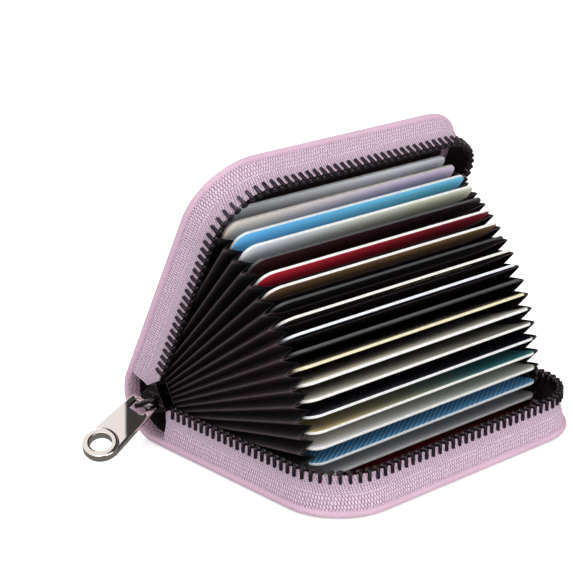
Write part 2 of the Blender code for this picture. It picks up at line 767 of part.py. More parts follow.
def gusset_lines(side):
    """The gusset's fold lines from bottom to top, ridges and valleys in turn."""
    lines = []
    for step in range(2 * POCKET_COUNT + 1):
        index = step / 2
        lower, upper = ridge_lift(floor(index)), ridge_lift(ceil(index))
        line = []
        for reach in (GUSSET_BACK_REACH, LEAF_MOUTH_REACH):
            gap = pocket_gap(reach) - (lower - upper)
            depth = 0.0 if step % 2 == 0 else fold_depth(gap)
            x = side * (RIDGE_HALF_WIDTH - depth)
            line.append(fan_point(index, reach, x, (lower + upper) / 2))
        lines.append(line)
    return lines


def make_gusset(name, side, axis):
    """The pleated end wall of the pockets: one strip folded out and in."""
    piece = add_piece(name, loft(name, gusset_lines(side)), bellows_material(name), axis)
    add_solidify(piece, GUSSET_THICKNESS)


def make_backing(axis):
    """The strip that joins the inner edges of all leaves."""
    reach = LEAF_BACK_REACH - SEAT_GAP - BACKING_THICKNESS / 2
    points = [fan_point(i, reach, 0.0, ridge_lift(i)) for i in range(POCKET_COUNT + 1)]
    profile = [(point.y, point.z) for point in points]
    mesh = swept_strip("pocket_backing", profile, leaf_half_width())
    piece = add_piece("pocket_backing", mesh, bellows_material("pocket_backing"), axis)
    add_solidify(piece, BACKING_THICKNESS)


def main():
    axes = [hinge_empty(f"leaf_axis_{i:02d}", leaf_angle(i)) for i in range(POCKET_COUNT + 1)]
    bottom, top = axes[0], axes[-1]
    slider_axis = hinge_empty("slider_axis", OPENING_ANGLE * SLIDER_TURN_SHARE)
    make_covers(bottom, top)
    make_spine(bottom)
    make_zip(bottom, top)
    make_slider(slider_axis)
    make_pull()
    make_leaves(axes)
    make_cards(axes)
    make_gusset("left_gusset", -1, bottom)
    make_gusset("right_gusset", 1, bottom)
    make_backing(bottom)


main()
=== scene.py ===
from math import cos, hypot, pi, radians, sin

import bmesh
import bpy
from mathutils import Matrix, Vector, noise


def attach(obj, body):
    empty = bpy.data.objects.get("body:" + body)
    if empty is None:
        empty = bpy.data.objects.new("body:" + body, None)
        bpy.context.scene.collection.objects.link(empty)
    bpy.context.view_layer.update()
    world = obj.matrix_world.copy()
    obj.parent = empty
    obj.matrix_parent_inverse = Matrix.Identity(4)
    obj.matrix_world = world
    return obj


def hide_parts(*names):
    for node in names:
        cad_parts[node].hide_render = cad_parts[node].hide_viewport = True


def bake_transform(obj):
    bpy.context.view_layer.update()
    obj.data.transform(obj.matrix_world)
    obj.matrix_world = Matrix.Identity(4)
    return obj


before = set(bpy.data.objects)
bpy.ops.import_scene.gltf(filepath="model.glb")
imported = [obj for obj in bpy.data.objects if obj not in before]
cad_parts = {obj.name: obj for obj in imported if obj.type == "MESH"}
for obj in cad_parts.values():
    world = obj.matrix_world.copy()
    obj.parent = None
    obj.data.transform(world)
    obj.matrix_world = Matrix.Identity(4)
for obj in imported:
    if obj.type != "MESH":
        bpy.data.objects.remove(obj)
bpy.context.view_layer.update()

mm = 0.001
tiny = 1e-6

# The wallet's own sizes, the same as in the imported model
wallet = {
    "length": 100.0 * mm,
    "depth": 75.0 * mm,
    "corner": 18.0 * mm,
    "outside": 12.7 * mm,  # from the hinge line to the outer face of a cover
    "inside": 10.7 * mm,  # and to its inner face
    "opening": radians(62.0),
    "pockets": 20,
    "pitch": 1.07 * mm,
    "coverGap": 0.3 * mm,  # between the outermost pleats and the covers
    "ridge": 46.3 * mm,  # half the width of the accordion
    "mouth": 57.0 * mm,  # where the leaves end
    "zipInset": 2.2 * mm,
    "zipStart": 1.0 * mm,
}
hinge = Vector((0.0, 37.5 * mm, 12.7 * mm))
spineArc = wallet["outside"] * (pi - wallet["opening"])
halfLength = wallet["length"] / 2

# The straight edges of a cover, and of the whole flat hide, between their round corners
straightX = halfLength - wallet["corner"]
straightY = wallet["depth"] - wallet["corner"]
hideTop = spineArc + straightY
seamRuns = [  # from, to, which way is out
    ((straightX, -straightY), (straightX, hideTop), 0.0),
    ((straightX, hideTop), (-straightX, hideTop), 0.5 * pi),
    ((-straightX, hideTop), (-straightX, -straightY), pi),
    ((-straightX, -straightY), (straightX, -straightY), 1.5 * pi),
]
zipRuns = [
    ((-straightX, -wallet["zipStart"]), (-straightX, -straightY), pi),
    ((-straightX, -straightY), (straightX, -straightY), 1.5 * pi),
    ((straightX, -straightY), (straightX, -wallet["zipStart"]), 2 * pi),
]
zipBend = wallet["corner"] - wallet["zipInset"]
zipLength = 2 * (straightY - wallet["zipStart"] + straightX) + zipBend * pi


# Small tools

def clearSelection():
    if bpy.context.object and bpy.context.object.mode != "OBJECT":
        bpy.ops.object.mode_set(mode="OBJECT")
    bpy.ops.object.select_all(action="DESELECT")


def named(name):
    piece = bpy.context.object
    piece.name = name
    piece.data.name = name
    return piece


def pick(piece, kind, wanted):
    bpy.ops.object.mode_set(mode="EDIT")
    bpy.ops.mesh.select_mode(type=kind)
    bpy.ops.mesh.select_all(action="DESELECT")
    form = bmesh.from_edit_mesh(piece.data)
    parts = {"FACE": form.faces, "EDGE": form.edges, "VERT": form.verts}[kind]
    for part in parts:
        if wanted(part):
            part.select_set(True)
    bmesh.update_edit_mesh(piece.data)


def bevelEdges(piece, wanted, offset, segments):
    pick(piece, "EDGE", wanted)
    bpy.ops.mesh.bevel(offset=offset, segments=segments, affect="EDGES")


def pickAll():
    bpy.ops.object.mode_set(mode="EDIT")
    bpy.ops.mesh.select_all(action="SELECT")


def reaches(edge, axis):
    # how far an edge runs along x, y or z: axis 0, 1 or 2
    return abs(edge.verts[0].co[axis] - edge.verts[1].co[axis])


def cutAt(place, normal, **more):
    # cuts through the whole mesh, square to x or y
    pickAll()
    bpy.ops.mesh.bisect(plane_co=(place, place, place), plane_no=normal, **more)


def doneEditing():
    bpy.ops.object.mode_set(mode="OBJECT")


def settle():
    bpy.ops.object.transform_apply(location=True, rotation=True, scale=True)


def apply(piece, kind, **settings):
    modifier = piece.modifiers.new(kind.lower(), kind)
    for key, value in settings.items():
        setattr(modifier, key, value)
    bpy.context.view_layer.objects.active = piece
    bpy.ops.object.modifier_apply(modifier=modifier.name)


def soften(piece, width, segments, degrees):
    apply(piece, "BEVEL", width=width, segments=segments, limit_method="ANGLE", angle_limit=radians(degrees))


def thicken(piece, thick, shares):
    # gives a sheet its thickness; each point's share of the turn goes with it
    marks = piece.data.attributes.new("share", "FLOAT", "POINT")
    marks.data.foreach_set("value", shares)
    apply(piece, "SOLIDIFY", thickness=thick, offset=0.0)
    marks = piece.data.attributes["share"]
    kept = [mark.value for mark in marks.data]
    piece.data.attributes.remove(marks)
    return kept


def smooth(piece, degrees=40.0):
    clearSelection()
    piece.select_set(True)
    bpy.context.view_layer.objects.active = piece
    bpy.ops.object.shade_smooth_by_angle(angle=radians(degrees))


def addBox(name, low, high):
    clearSelection()
    low, high = Vector(low), Vector(high)
    bpy.ops.mesh.primitive_cube_add(size=1.0, location=(low + high) / 2)
    piece = named(name)
    piece.scale = high - low
    settle()
    return piece


def addGrid(name, columns, rows):
    clearSelection()
    bpy.ops.mesh.primitive_grid_add(x_subdivisions=columns, y_subdivisions=rows, size=1.0)
    return named(name)


def smoothStep(value):
    value = max(0.0, min(1.0, value))
    return value * value * (3.0 - 2.0 * value)


def setUv(piece, points):
    layer = piece.data.uv_layers.active or piece.data.uv_layers.new(name="UVMap")
    for loop in piece.data.loops:
        layer.data[loop.index].uv = points[loop.vertex_index]


def layOut(piece, place):
    # each point of a grid goes to its place, and the sheet's map stays flat
    flat, shares = [], []
    for vertex in piece.data.vertices:
        vertex.co, spot, share = place(vertex.co.x + 0.5, vertex.co.y + 0.5)
        flat.append(spot)
        shares.append(share)
    setUv(piece, flat)
    piece.data.update()
    return shares


def join(name, pieces):
    clearSelection()
    for piece in pieces:
        piece.select_set(True)
    bpy.context.view_layer.objects.active = pieces[0]
    bpy.ops.object.join()
    return named(name)


def copyAlong(piece, places):
    # copies of one small shape, at each matrix, as one mesh
    source = piece.data
    form = bmesh.new()
    for matrix in places:
        copy = source.copy()
        copy.transform(matrix)
        form.from_mesh(copy)
        bpy.data.meshes.remove(copy)
    form.to_mesh(source)
    form.free()
    source.update()


def dress(piece, finish):
    piece.data.materials.clear()
    piece.data.materials.append(finish)


def seat(piece, matrix, body, *nodes, degrees=40.0):
    # moves a finished piece to its place on a body, in place of those nodes
    piece.data.transform(matrix)
    if matrix.determinant() < 0.0:
        piece.data.flip_normals()
    piece.data.update()
    if degrees:
        smooth(piece, degrees)
    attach(piece, body)
    if nodes:
        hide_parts(*nodes)


# Places on the wallet

def onLeaf(index):
    turn = wallet["opening"] * index / wallet["pockets"]
    return Matrix.Translation(hinge) @ Matrix.Rotation(-turn, 4, "X")


def onCover(side):
    if side == "bottom":
        return Matrix.Translation(hinge)
    return onLeaf(wallet["pockets"]) @ Matrix.Scale(-1.0, 4, (0.0, 0.0, 1.0))


def leafHeight(index):
    return -wallet["inside"] + wallet["pitch"] * index


def fanPoint(index, reach, x):
    # the outermost folds keep clear of the covers
    nearCover = max(0.0, 1.0 - index) - max(0.0, index - wallet["pockets"] + 1)
    return onLeaf(index) @ Vector((x, -reach, leafHeight(index) + wallet["coverGap"] * nearCover))


def wrapPoint(x, along, inward):
    # along is 0 at the bottom cover's spine edge and grows round the spine to the top cover
    radius = wallet["outside"] - inward
    if along <= 0.0:
        return hinge + Vector((x, along, -radius)), 0.0
    if along < spineArc:
        turn = along / wallet["outside"] - pi / 2
        return hinge + Vector((x, radius * cos(turn), radius * sin(turn))), along / spineArc
    return onLeaf(wallet["pockets"]) @ Vector((x, spineArc - along, radius)), 1.0


def bendWith(piece):
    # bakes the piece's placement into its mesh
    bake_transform(piece)


def alongRuns(runs, along, reach, bend):
    # straight runs, each with a round corner after it: a point and which way is out
    for start, end, out in runs:
        straight = hypot(end[0] - start[0], end[1] - start[1])
        if along < straight:
            share = along / straight
            core = [first + (last - first) * share for first, last in zip(start, end)]
            turn = out
            break
        along -= straight
        core, turn = end, out + along / bend
        if along < bend * pi / 2:
            break
        along -= bend * pi / 2
    return core[0] + reach * cos(turn), core[1] + reach * sin(turn), turn


def zipPlace(along, inset):
    return alongRuns(zipRuns, along, wallet["corner"] - inset, zipBend)


def standing(x, y, out, z=0.0):
    return Matrix.Translation((x, y, z)) @ Matrix.Rotation(out, 4, "Z")


# Finishes

def feed(finish, socket, value):
    if isinstance(value, bpy.types.NodeSocket):
        finish.node_tree.links.new(value, socket)
    else:
        socket.default_value = value


def drive(finish, key, value):
    feed(finish, finish.node_tree.nodes["Principled BSDF"].inputs[key], value)


def newFinish(name, colour, roughness, metallic=0.0, more=None):
    finish = bpy.data.materials.new(name)
    finish.use_nodes = True
    inputs = {"Base Color": (*colour, 1.0), "Roughness": roughness, "Metallic": metallic, **(more or {})}
    for key, value in inputs.items():
        drive(finish, key, value)
    return finish


def add(finish, kind, inputs=None, **settings):
    node = finish.node_tree.nodes.new("ShaderNode" + kind)
    for key, value in settings.items():
        setattr(node, key, value)
    for key, value in (inputs or {}).items():
        feed(finish, node.inputs[key], value)
    return node


def sums(finish, operation, *values):
    return add(finish, "Math", dict(enumerate(values)), operation=operation).outputs[0]


def times(finish, first, second):
    return sums(finish, "MULTIPLY", first, second)


def timesPlus(finish, first, second, third):
    return sums(finish, "MULTIPLY_ADD", first, second, third)


def ramp(finish, source, stops):
    node = add(finish, "ValToRGB", {"Fac": source})
    band = node.color_ramp
    while len(band.elements) < len(stops):
        band.elements.new(0.5)
    for element, (position, colour) in zip(band.elements, stops):
        element.position = position
        element.color = (*colour, 1.0)
    return node.outputs["Color"]


def mixed(finish, share, first, second):
    return add(finish, "Mix", {0: share, 6: first, 7: second}, data_type="RGBA").outputs[2]


def scaled(finish, vector, factor):
    return add(finish, "VectorMath", {0: vector, "Scale": factor}, operation="SCALE").outputs[0]


def millimetres(finish):
    # the piece's own map, laid out in metres, brought to millimetres
    return scaled(finish, add(finish, "UVMap", uv_map="UVMap").outputs["UV"], 1000.0)


def speckle(finish, where, scale, detail):
    return add(finish, "TexNoise", {"Vector": where, "Scale": scale, "Detail": detail}).outputs["Fac"]


def spread(finish, source, low, high, toLow=0.0, toHigh=1.0, kind="LINEAR"):
    # lays one range of a value out over another
    inputs = {"Value": source, "From Min": low, "From Max": high, "To Min": toLow, "To Max": toHigh}
    return add(finish, "MapRange", inputs, interpolation_type=kind).outputs[0]


def rise(finish, source, low, high):
    # 0 up to the first value, 1 from the second, softly between
    return spread(finish, source, low, high, kind="SMOOTHSTEP")


def bands(finish, source, period):
    # a smooth wave of that period, from 0 to 1
    turn = times(finish, source, 2 * pi / period)
    return timesPlus(finish, sums(finish, "SINE", turn), 0.5, 0.5)


def bump(finish, height, deep):
    node = add(finish, "Bump", {"Height": height, "Distance": deep, "Strength": 1.0})
    drive(finish, "Normal", node.outputs["Normal"])


leatherLook = {
    "face": (0.635, 0.432, 0.540),
    # painted shade at the bottom of a crease
    "creaseShade": (0.480, 0.305, 0.400),
    "gloss": (0.36, 0.52),  # roughness from pore to pore
    "pebble": 0.66,  # pebbles to a millimetre
    "uneven": 0.84,
    "crumb": 2.1,
    "wander": ((0.45, 0.8), (1.7, 0.34)),  # scale and reach, in millimetres, of the pattern's drift
    "creaseReach": 0.21,  # how far a crease goes into a pebble
    "crumbReach": 0.25,
    "fadeScale": 0.42,
    "fainted": 0.45,  # what is left of a crease where it fades
    "pore": 7.0,
    "heights": (0.2, 0.5, 0.12),  # of a crumb, a pebble and a pore, where a crease is 1 deep
    "shade": (0.96, 1.03),  # a slow change of lightness over the hide
    "shadeScale": 0.05,
    "relief": 0.30 * mm,
}


def leatherFinish():
    # rounded pebbles parted by creases that come and go; each crease is sunk by the bump and darkened with
    # painted shade
    look = leatherLook
    finish = newFinish("lilac leather", look["face"], 0.46)
    flat = bent = millimetres(finish)
    for scale, reach in look["wander"]:
        drift = add(finish, "TexNoise", {"Vector": flat, "Scale": scale, "Detail": 2.0})
        shift = scaled(finish, drift.outputs["Color"], reach)
        bent = add(finish, "VectorMath", {0: bent, 1: shift}, operation="ADD").outputs[0]
    cells = {"voronoi_dimensions": "2D", "feature": "DISTANCE_TO_EDGE"}
    size = {"Vector": bent, "Scale": look["pebble"], "Randomness": look["uneven"]}
    pebbles = add(finish, "TexVoronoi", size, **cells).outputs["Distance"]
    crumbs = add(finish, "TexVoronoi", {"Vector": bent, "Scale": look["crumb"]}, **cells).outputs["Distance"]
    field = add(finish, "Attribute", attribute_name="fieldShare").outputs["Fac"]
    depth = spread(finish, speckle(finish, flat, look["fadeScale"], 2.0), 0.36, 0.6, look["fainted"], 1.0)
    valley = sums(finish, "SUBTRACT", 1.0, rise(finish, pebbles, 0.0, look["creaseReach"]))
    valley = times(finish, times(finish, valley, depth), field)
    grain = rise(finish, crumbs, 0.0, look["crumbReach"])
    grain = times(finish, grain, timesPlus(finish, field, 0.7, 0.3))
    pores = speckle(finish, flat, look["pore"], 3.0)
    crumbHigh, pebbleHigh, poreHigh = look["heights"]
    height = timesPlus(finish, grain, crumbHigh, sums(finish, "SUBTRACT", 1.0, valley))
    height = timesPlus(finish, rise(finish, pebbles, 0.0, 0.6), pebbleHigh, height)
    bump(finish, timesPlus(finish, pores, poreHigh, height), look["relief"])
    # painted shade: the colour darkens from face to crease where the creases sink in
    paint = ramp(finish, valley, [(0.15, look["face"]), (1.0, look["creaseShade"])])
    shade = spread(finish, speckle(finish, flat, look["shadeScale"], 3.0), 0.3, 0.7, *look["shade"])
    drive(finish, "Base Color", scaled(finish, paint, shade))
    drive(finish, "Roughness", spread(finish, pores, 0.3, 0.7, *look["gloss"]))
    return finish


tapeLook = {
    # the tape's colour on the tops of its threads, with painted highlight
    "light": (0.735, 0.565, 0.675),
    # painted shade in the grooves between the threads
    "dark": (0.225, 0.130, 0.200),
    "rib": 0.84,  # millimetres from thread to thread along the tape
    "row": 1.05,  # and from row to row across it
    "ribLean": 0.25,
    "twill": 0.80,
    "twillRow": 0.7,
    "twillLean": 0.9,
    "fuzz": (1.1, 0.55),  # scale and reach of the threads' unevenness
    "wear": (0.35, 0.9),  # and of the rows'
    "ribbed": 4.2,  # millimetres of straight ribs above the leather, then slanting ones
    "fade": 0.8,
    "relief": 0.16 * mm,
}


def staggered(finish, along, up, pitch, row, lean):
    # dashes across the tape, every other row set half a pitch on
    number = sums(finish, "FLOOR", sums(finish, "DIVIDE", up, row))
    shift = times(finish, sums(finish, "MODULO", number, 2.0), pitch / 2)
    leaned = timesPlus(finish, up, lean, along)
    dash = bands(finish, sums(finish, "ADD", leaned, shift), pitch)
    ends = rise(finish, sums(finish, "PINGPONG", up, row / 2), 0.0, row * 0.3)
    return times(finish, dash, timesPlus(finish, ends, 0.55, 0.45))


def tapeFinish():
    look = tapeLook
    finish = newFinish("lilac zip tape", look["light"], 0.78, more={"Sheen Weight": 0.15})
    spot = millimetres(finish)
    flat = add(finish, "SeparateXYZ", {0: spot}).outputs
    (fuzzScale, fuzzReach), (wearScale, wearReach) = look["fuzz"], look["wear"]
    fuzz, wear = speckle(finish, spot, fuzzScale, 3.0), speckle(finish, spot, wearScale, 2.0)
    along = timesPlus(finish, fuzz, fuzzReach, flat[0])
    up = timesPlus(finish, wear, wearReach, flat[1])
    ribs = staggered(finish, along, up, look["rib"], look["row"], look["ribLean"])
    twill = staggered(finish, along, up, look["twill"], look["row"] * look["twillRow"], look["twillLean"])
    inner = spread(finish, up, look["ribbed"], look["ribbed"] + look["fade"])
    height = add(finish, "Mix", {"Factor": inner, "A": ribs, "B": twill}, data_type="FLOAT").outputs[0]
    height = timesPlus(finish, fuzz, 0.5, height)
    bump(finish, height, look["relief"])
    # the weave's pattern painted from its height: painted highlight on the raised threads, painted shade in
    # the grooves
    paleness = times(finish, height, 0.66)
    paint = ramp(finish, paleness, [(0.16, look["dark"]), (0.56, look["light"])])
    drive(finish, "Base Color", paint)
    return finish


clothLook = {
    "face": (0.0125, 0.0080, 0.0095),
    "thread": (0.034, 0.021, 0.025),
    # a paler colour at a free edge, also used as the painted highlight along each fold's ridge
    "edge": (0.085, 0.056, 0.064, 1.0),
    # painted shade in the hollow of each fold
    "valley": (0.0012, 0.0011, 0.0020, 1.0),
    "sheen": (0.55, 0.34, 0.36, 1.0),
    "twill": 0.46,
    "fold": 6.3,  # millimetres of the map from ridge to ridge
    "litRidge": 0.24,  # the share of a fold on each side of its ridge that keeps its colour; the rest, to the valley, is painted shade
    "paleness": (0.25, 0.7),  # a free edge is pale to the first of these, in millimetres
    "relief": 0.05 * mm,
}
clearOfEdge = 2.0 * mm  # where a map starts when its edge is hidden and shows no pale band


def clothFinish(name, folded=False):
    # fine dark twill; the map's second number is the distance from the free edge. A folded sheet gets painted
    # shade in each fold's hollow and a painted highlight along each ridge
    look = clothLook
    sheen = {"Sheen Weight": 0.07, "Sheen Roughness": 0.4, "Sheen Tint": look["sheen"]}
    finish = newFinish(name, look["face"], 0.58, more={"Specular IOR Level": 0.3, **sheen})
    spot = millimetres(finish)
    across, back = add(finish, "SeparateXYZ", {0: spot}).outputs[:2]
    fuzz = speckle(finish, spot, 2.2, 3.0)
    slant = timesPlus(finish, fuzz, 0.2, sums(finish, "ADD", across, back))
    twill = bands(finish, slant, look["twill"])
    bump(finish, timesPlus(finish, fuzz, 0.6, twill), look["relief"])
    weave = ramp(finish, times(finish, twill, fuzz), [(0.1, look["face"]), (0.6, look["thread"])])
    colour = mixed(finish, spread(finish, back, *look["paleness"], 0.8, 0.0), weave, look["edge"])
    if folded:
        # painted shade away from each ridge, and a painted highlight on the ridge itself
        inFold = sums(finish, "PINGPONG", across, look["fold"] / 2)
        litRidge = rise(finish, inFold, look["fold"] * look["litRidge"], 0.0)
        colour = mixed(finish, litRidge, look["valley"], colour)
        colour = mixed(finish, spread(finish, inFold, 0.5, 0.0, 0.0, 0.75), colour, look["edge"])
    drive(finish, "Base Color", colour)
    return finish


def metalFinish(name, colour, roughness, grain):
    # plated metal with faint polishing marks
    finish = newFinish(name, colour, roughness, 1.0)
    where = add(finish, "TexCoord").outputs["Object"]
    bump(finish, speckle(finish, where, 900.0, 4.0), grain)
    gloss = spread(finish, speckle(finish, where, 160.0, 2.0), 0.0, 1.0, roughness * 0.7, roughness * 1.4)
    drive(finish, "Roughness", gloss)
    return finish


def threadFinish():
    finish = newFinish("sewing thread", (0.50, 0.36, 0.47), 0.6)
    inputs = {"Vector": add(finish, "TexCoord").outputs["Object"], "Scale": 380.0, "Distortion": 1.5}
    twist = add(finish, "TexWave", inputs, bands_direction="DIAGONAL").outputs["Fac"]
    bump(finish, twist, 0.05 * mm)
    paint = ramp(finish, twist, [(0.0, (0.30, 0.19, 0.28)), (0.7, (0.62, 0.48, 0.58))])
    drive(finish, "Base Color", paint)
    return finish


leather = leatherFinish()
zipTape = tapeFinish()
cloth = clothFinish("aubergine lining")
foldedCloth = clothFinish("folded aubergine lining", True)
gunmetal = metalFinish("dark gunmetal", (0.040, 0.034, 0.037), 0.17, 0.004 * mm)
burnished = metalFinish("burnished zip teeth", (0.060, 0.048, 0.055), 0.34, 0.008 * mm)
polished = metalFinish("polished nickel plate", (0.82, 0.745, 0.70), 0.03, 0.0003 * mm)
gold = metalFinish("gold foil", (0.72, 0.52, 0.24), 0.3, 0.002 * mm)
thread = threadFinish()
print("finishes made")


# Leather: one piece that wraps both covers and the spine

jacket = {
    "slab": 1.8 * mm,
    "lift": 0.2 * mm,  # the padded field stands this far above the rim
    "rim": 0.8 * mm,
    "hem": 4.5 * mm,
    "bed": 0.9 * mm,  # the boards sink in this far inside the hem
    "bedWall": 0.2 * mm,
    "groove": 2.4 * mm,  # from the edge to the line of stitches
    "grooveHalf": 0.4 * mm,
    "grooveDeep": 0.2 * mm,
    "padding": ((0.7 * mm, 0.14 * mm), (0.9 * mm, 0.06 * mm)),  # how the field rises inside the groove
    "grain": (0.5 * mm, 1.6 * mm),  # the pebbles start this far inside the edge, and are full after that
    "cornerSteps": 14,
    "spineCuts": 32,
}


def hideCore(x, along):
    # the nearest point of the hide without its rounded border
    return max(-straightX, min(straightX, x)), max(-straightY, min(hideTop, along))


def wrapRound(piece):
    # bends the flat hide, or what lies on it, round the covers; its map stays flat
    field = piece.data.attributes.new("fieldShare", "FLOAT", "POINT")
    start, full = jacket["grain"]
    flat, shares = [], []
    for vertex in piece.data.vertices:
        x, along, inward = vertex.co.x, vertex.co.y, jacket["lift"] - vertex.co.z
        coreX, coreY = hideCore(x, along)
        out = hypot(x - coreX, along - coreY)
        field.data[vertex.index].value = smoothStep((wallet["corner"] - out - start) / full)
        spreadOut = 1.0 + inward / out if out > tiny else 1.0
        flat.append((coreX + (x - coreX) * spreadOut, coreY + (along - coreY) * spreadOut))
        vertex.co, share = wrapPoint(x, along, inward)
        shares.append(share)
    setUv(piece, flat)
    piece.data.update()
    return shares


def makeJacket():
    size = jacket
    clearSelection()
    bpy.ops.mesh.primitive_plane_add(size=1.0, location=(0.0, spineArc / 2, 0.0))
    piece = named("leatherJacket")
    piece.scale = (wallet["length"], spineArc + 2 * wallet["depth"], 1.0)
    settle()
    pickAll()
    bpy.ops.mesh.bevel(offset=wallet["corner"], affect="VERTICES", segments=size["cornerSteps"])
    pickAll()
    bpy.ops.mesh.extrude_region_move(TRANSFORM_OT_translate={"value": (0.0, 0.0, -size["slab"])})
    pickAll()
    bpy.ops.mesh.normals_make_consistent(inside=False)
    bevelEdges(piece, lambda edge: reaches(edge, 2) < tiny, size["rim"], 5)
    pick(piece, "FACE", lambda face: face.normal.z > 0.99)
    groove, deep = size["grooveHalf"], size["grooveDeep"]
    rings = [(size["groove"] - size["rim"] - groove, 0.0), (groove, -deep), (groove, deep), *size["padding"]]
    for wide, rise in rings:
        bpy.ops.mesh.inset(thickness=wide, depth=rise)
    pick(piece, "FACE", lambda face: face.normal.z < -0.99)
    bpy.ops.mesh.inset(thickness=size["hem"] - size["rim"])
    bpy.ops.mesh.inset(thickness=size["bedWall"], depth=-size["bed"])
    for cut in range(size["spineCuts"] + 1):
        cutAt(spineArc * cut / size["spineCuts"], (0.0, 1.0, 0.0))
    doneEditing()
    shares = wrapRound(piece)
    smooth(piece, 35.0)
    dress(piece, leather)
    bendWith(piece)
    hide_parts("bottom_cover_leather", "top_cover_leather", "spine_leather")


stitching = {
    "pitch": 3.0 * mm,
    "long": 2.5 * mm,
    "wide": 0.5 * mm,
    "thick": 0.34 * mm,
    "dip": 0.16 * mm,  # both ends go down into their holes
    "waist": 0.25,
    "sunk": 0.10 * mm,
    "slant": 0.07,
    "uneven": 0.06,
}


def makeStitches():
    size = stitching
    clearSelection()
    bpy.ops.mesh.primitive_uv_sphere_add(segments=8, ring_count=6, radius=0.5, rotation=(pi / 2, 0.0, 0.0))
    piece = named("jacketStitches")
    settle()
    piece.scale = (size["wide"], size["long"], size["thick"])
    settle()
    for vertex in piece.data.vertices:
        end = vertex.co.y / (size["long"] / 2)
        vertex.co.z -= size["dip"] * end ** 4
        vertex.co.x *= 1.0 + size["waist"] * (1.0 - end ** 2)
    radius = wallet["corner"] - jacket["groove"]
    total = 2 * (2 * straightX + hideTop + straightY) + 2 * pi * radius
    count = round(total / size["pitch"])
    places = []
    for number in range(count):
        x, y, out = alongRuns(seamRuns, total * (number + 0.5) / count, radius, radius)
        lean = size["uneven"] * noise.noise(Vector((number * 0.7, 0.0, 0.0)))
        places.append(standing(x, y, out + size["slant"] + lean, -size["sunk"]))
    copyAlong(piece, places)
    shares = wrapRound(piece)
    piece.data.shade_smooth()
    dress(piece, thread)
    bendWith(piece)


makeJacket()
makeStitches()
print("leather and stitches made")


# Boards wrapped in lining, in the beds of the covers

panel = {"thick": 0.75 * mm, "inset": 4.8 * mm, "spineGap": 0.3 * mm, "soft": 0.25 * mm, "mapStart": 5.0 * mm}


def makePanel(side):
    size = panel
    high = -wallet["inside"]
    half, mouth, corner = [full - size["inset"] for full in (halfLength, wallet["depth"], wallet["corner"])]
    piece = addBox(side + "Panel", (-half, -mouth, high - size["thick"]), (half, -size["spineGap"], high))
    bevelEdges(piece, lambda edge: reaches(edge, 2) > tiny and edge.verts[0].co.y < -mouth / 2, corner, 12)
    bevelEdges(piece, lambda edge: reaches(edge, 2) < tiny, size["soft"], 3)
    doneEditing()
    setUv(piece, [(v.co.x, v.co.y + mouth + size["mapStart"]) for v in piece.data.vertices])
    dress(piece, cloth)
    seat(piece, onCover(side), side + "_cover", side + "_cover_panel")


makePanel("bottom")
makePanel("top")


# Zip: woven tape bent round each cover, with its dark inner lining

strip = {
    "baseInset": 1.05 * mm,
    "topInset": 2.08 * mm,
    "leanFrom": -10.9 * mm,  # the tape leans in from here
    "leanOver": 5.6 * mm,
    "ripple": 0.10 * mm,
    "rippleScale": 90.0,
    "taper": 5.0 * mm,  # its ends slope down over this length
    "endTop": -4.7 * mm,
    "trim": {"bottom": 3.4 * mm, "top": 0.0},  # cut off each end
    "ZipTape": {"base": -10.85, "top": -1.42, "further": 0.0, "thick": 0.42, "high": 10.5, "grid": (226, 14)},
    "InnerWall": {"base": -10.6, "top": -2.2, "further": 0.42, "thick": 0.2, "high": 10.0, "grid": (113, 6)},
}


def makeStrip(side, name, finish, slot, restsOn, *nodes):
    # a flat strip laid round the cover: first leaning in, then upright
    size, own = strip, strip[name]
    base, top, further = own["base"] * mm, own["top"] * mm, own["further"] * mm
    trim = size["trim"][side]

    def place(across, share):
        along = trim + across * (zipLength - 2 * trim)
        toEnd = min(along, zipLength - along)
        highest = top
        if toEnd < size["taper"]:
            highest = min(top, size["endTop"] + (top - size["endTop"]) * toEnd / size["taper"])
        height = base + (highest - base) * share
        lean = smoothStep((height - size["leanFrom"]) / size["leanOver"])
        inset = size["baseInset"] + (size["topInset"] - size["baseInset"]) * lean + further
        ripple = noise.noise(Vector((along * size["rippleScale"], share * 1.5, 3.0 + further)))
        x, y, out = zipPlace(along, inset + size["ripple"] * ripple * sin(pi * share))
        return (x, y, height), (along, share * (highest - base)), 0.0

    piece = addGrid(side + name, *own["grid"])
    thicken(piece, own["thick"] * mm, layOut(piece, place))
    dress(piece, finish)
    seat(piece, onCover(side), side + "_cover", *nodes, degrees=50.0)


tooth = {
    "pitch": 2.5 * mm,
    "first": 5.6 * mm,  # from the tape's end to the first tooth
    "long": 0.98 * mm,
    "half": 1.0 * mm,
    "foot": -3.5 * mm,
    "footShape": (1.06, 0.84, 1.0),
    "shoulder": -0.55 * mm,
    "headInset": 0.16 * mm,
    "headShift": (-0.06 * mm, 0.0, 0.22 * mm),
    "soft": 0.15 * mm,
    "cup": (-0.28 * mm, 0.0, -0.72 * mm),
    "cupSize": (0.70 * mm, 1.12 * mm, 0.60 * mm),
    "count": 83,
    "stopLonger": 1.9,
    "stopBack": 1.1 * mm,
}


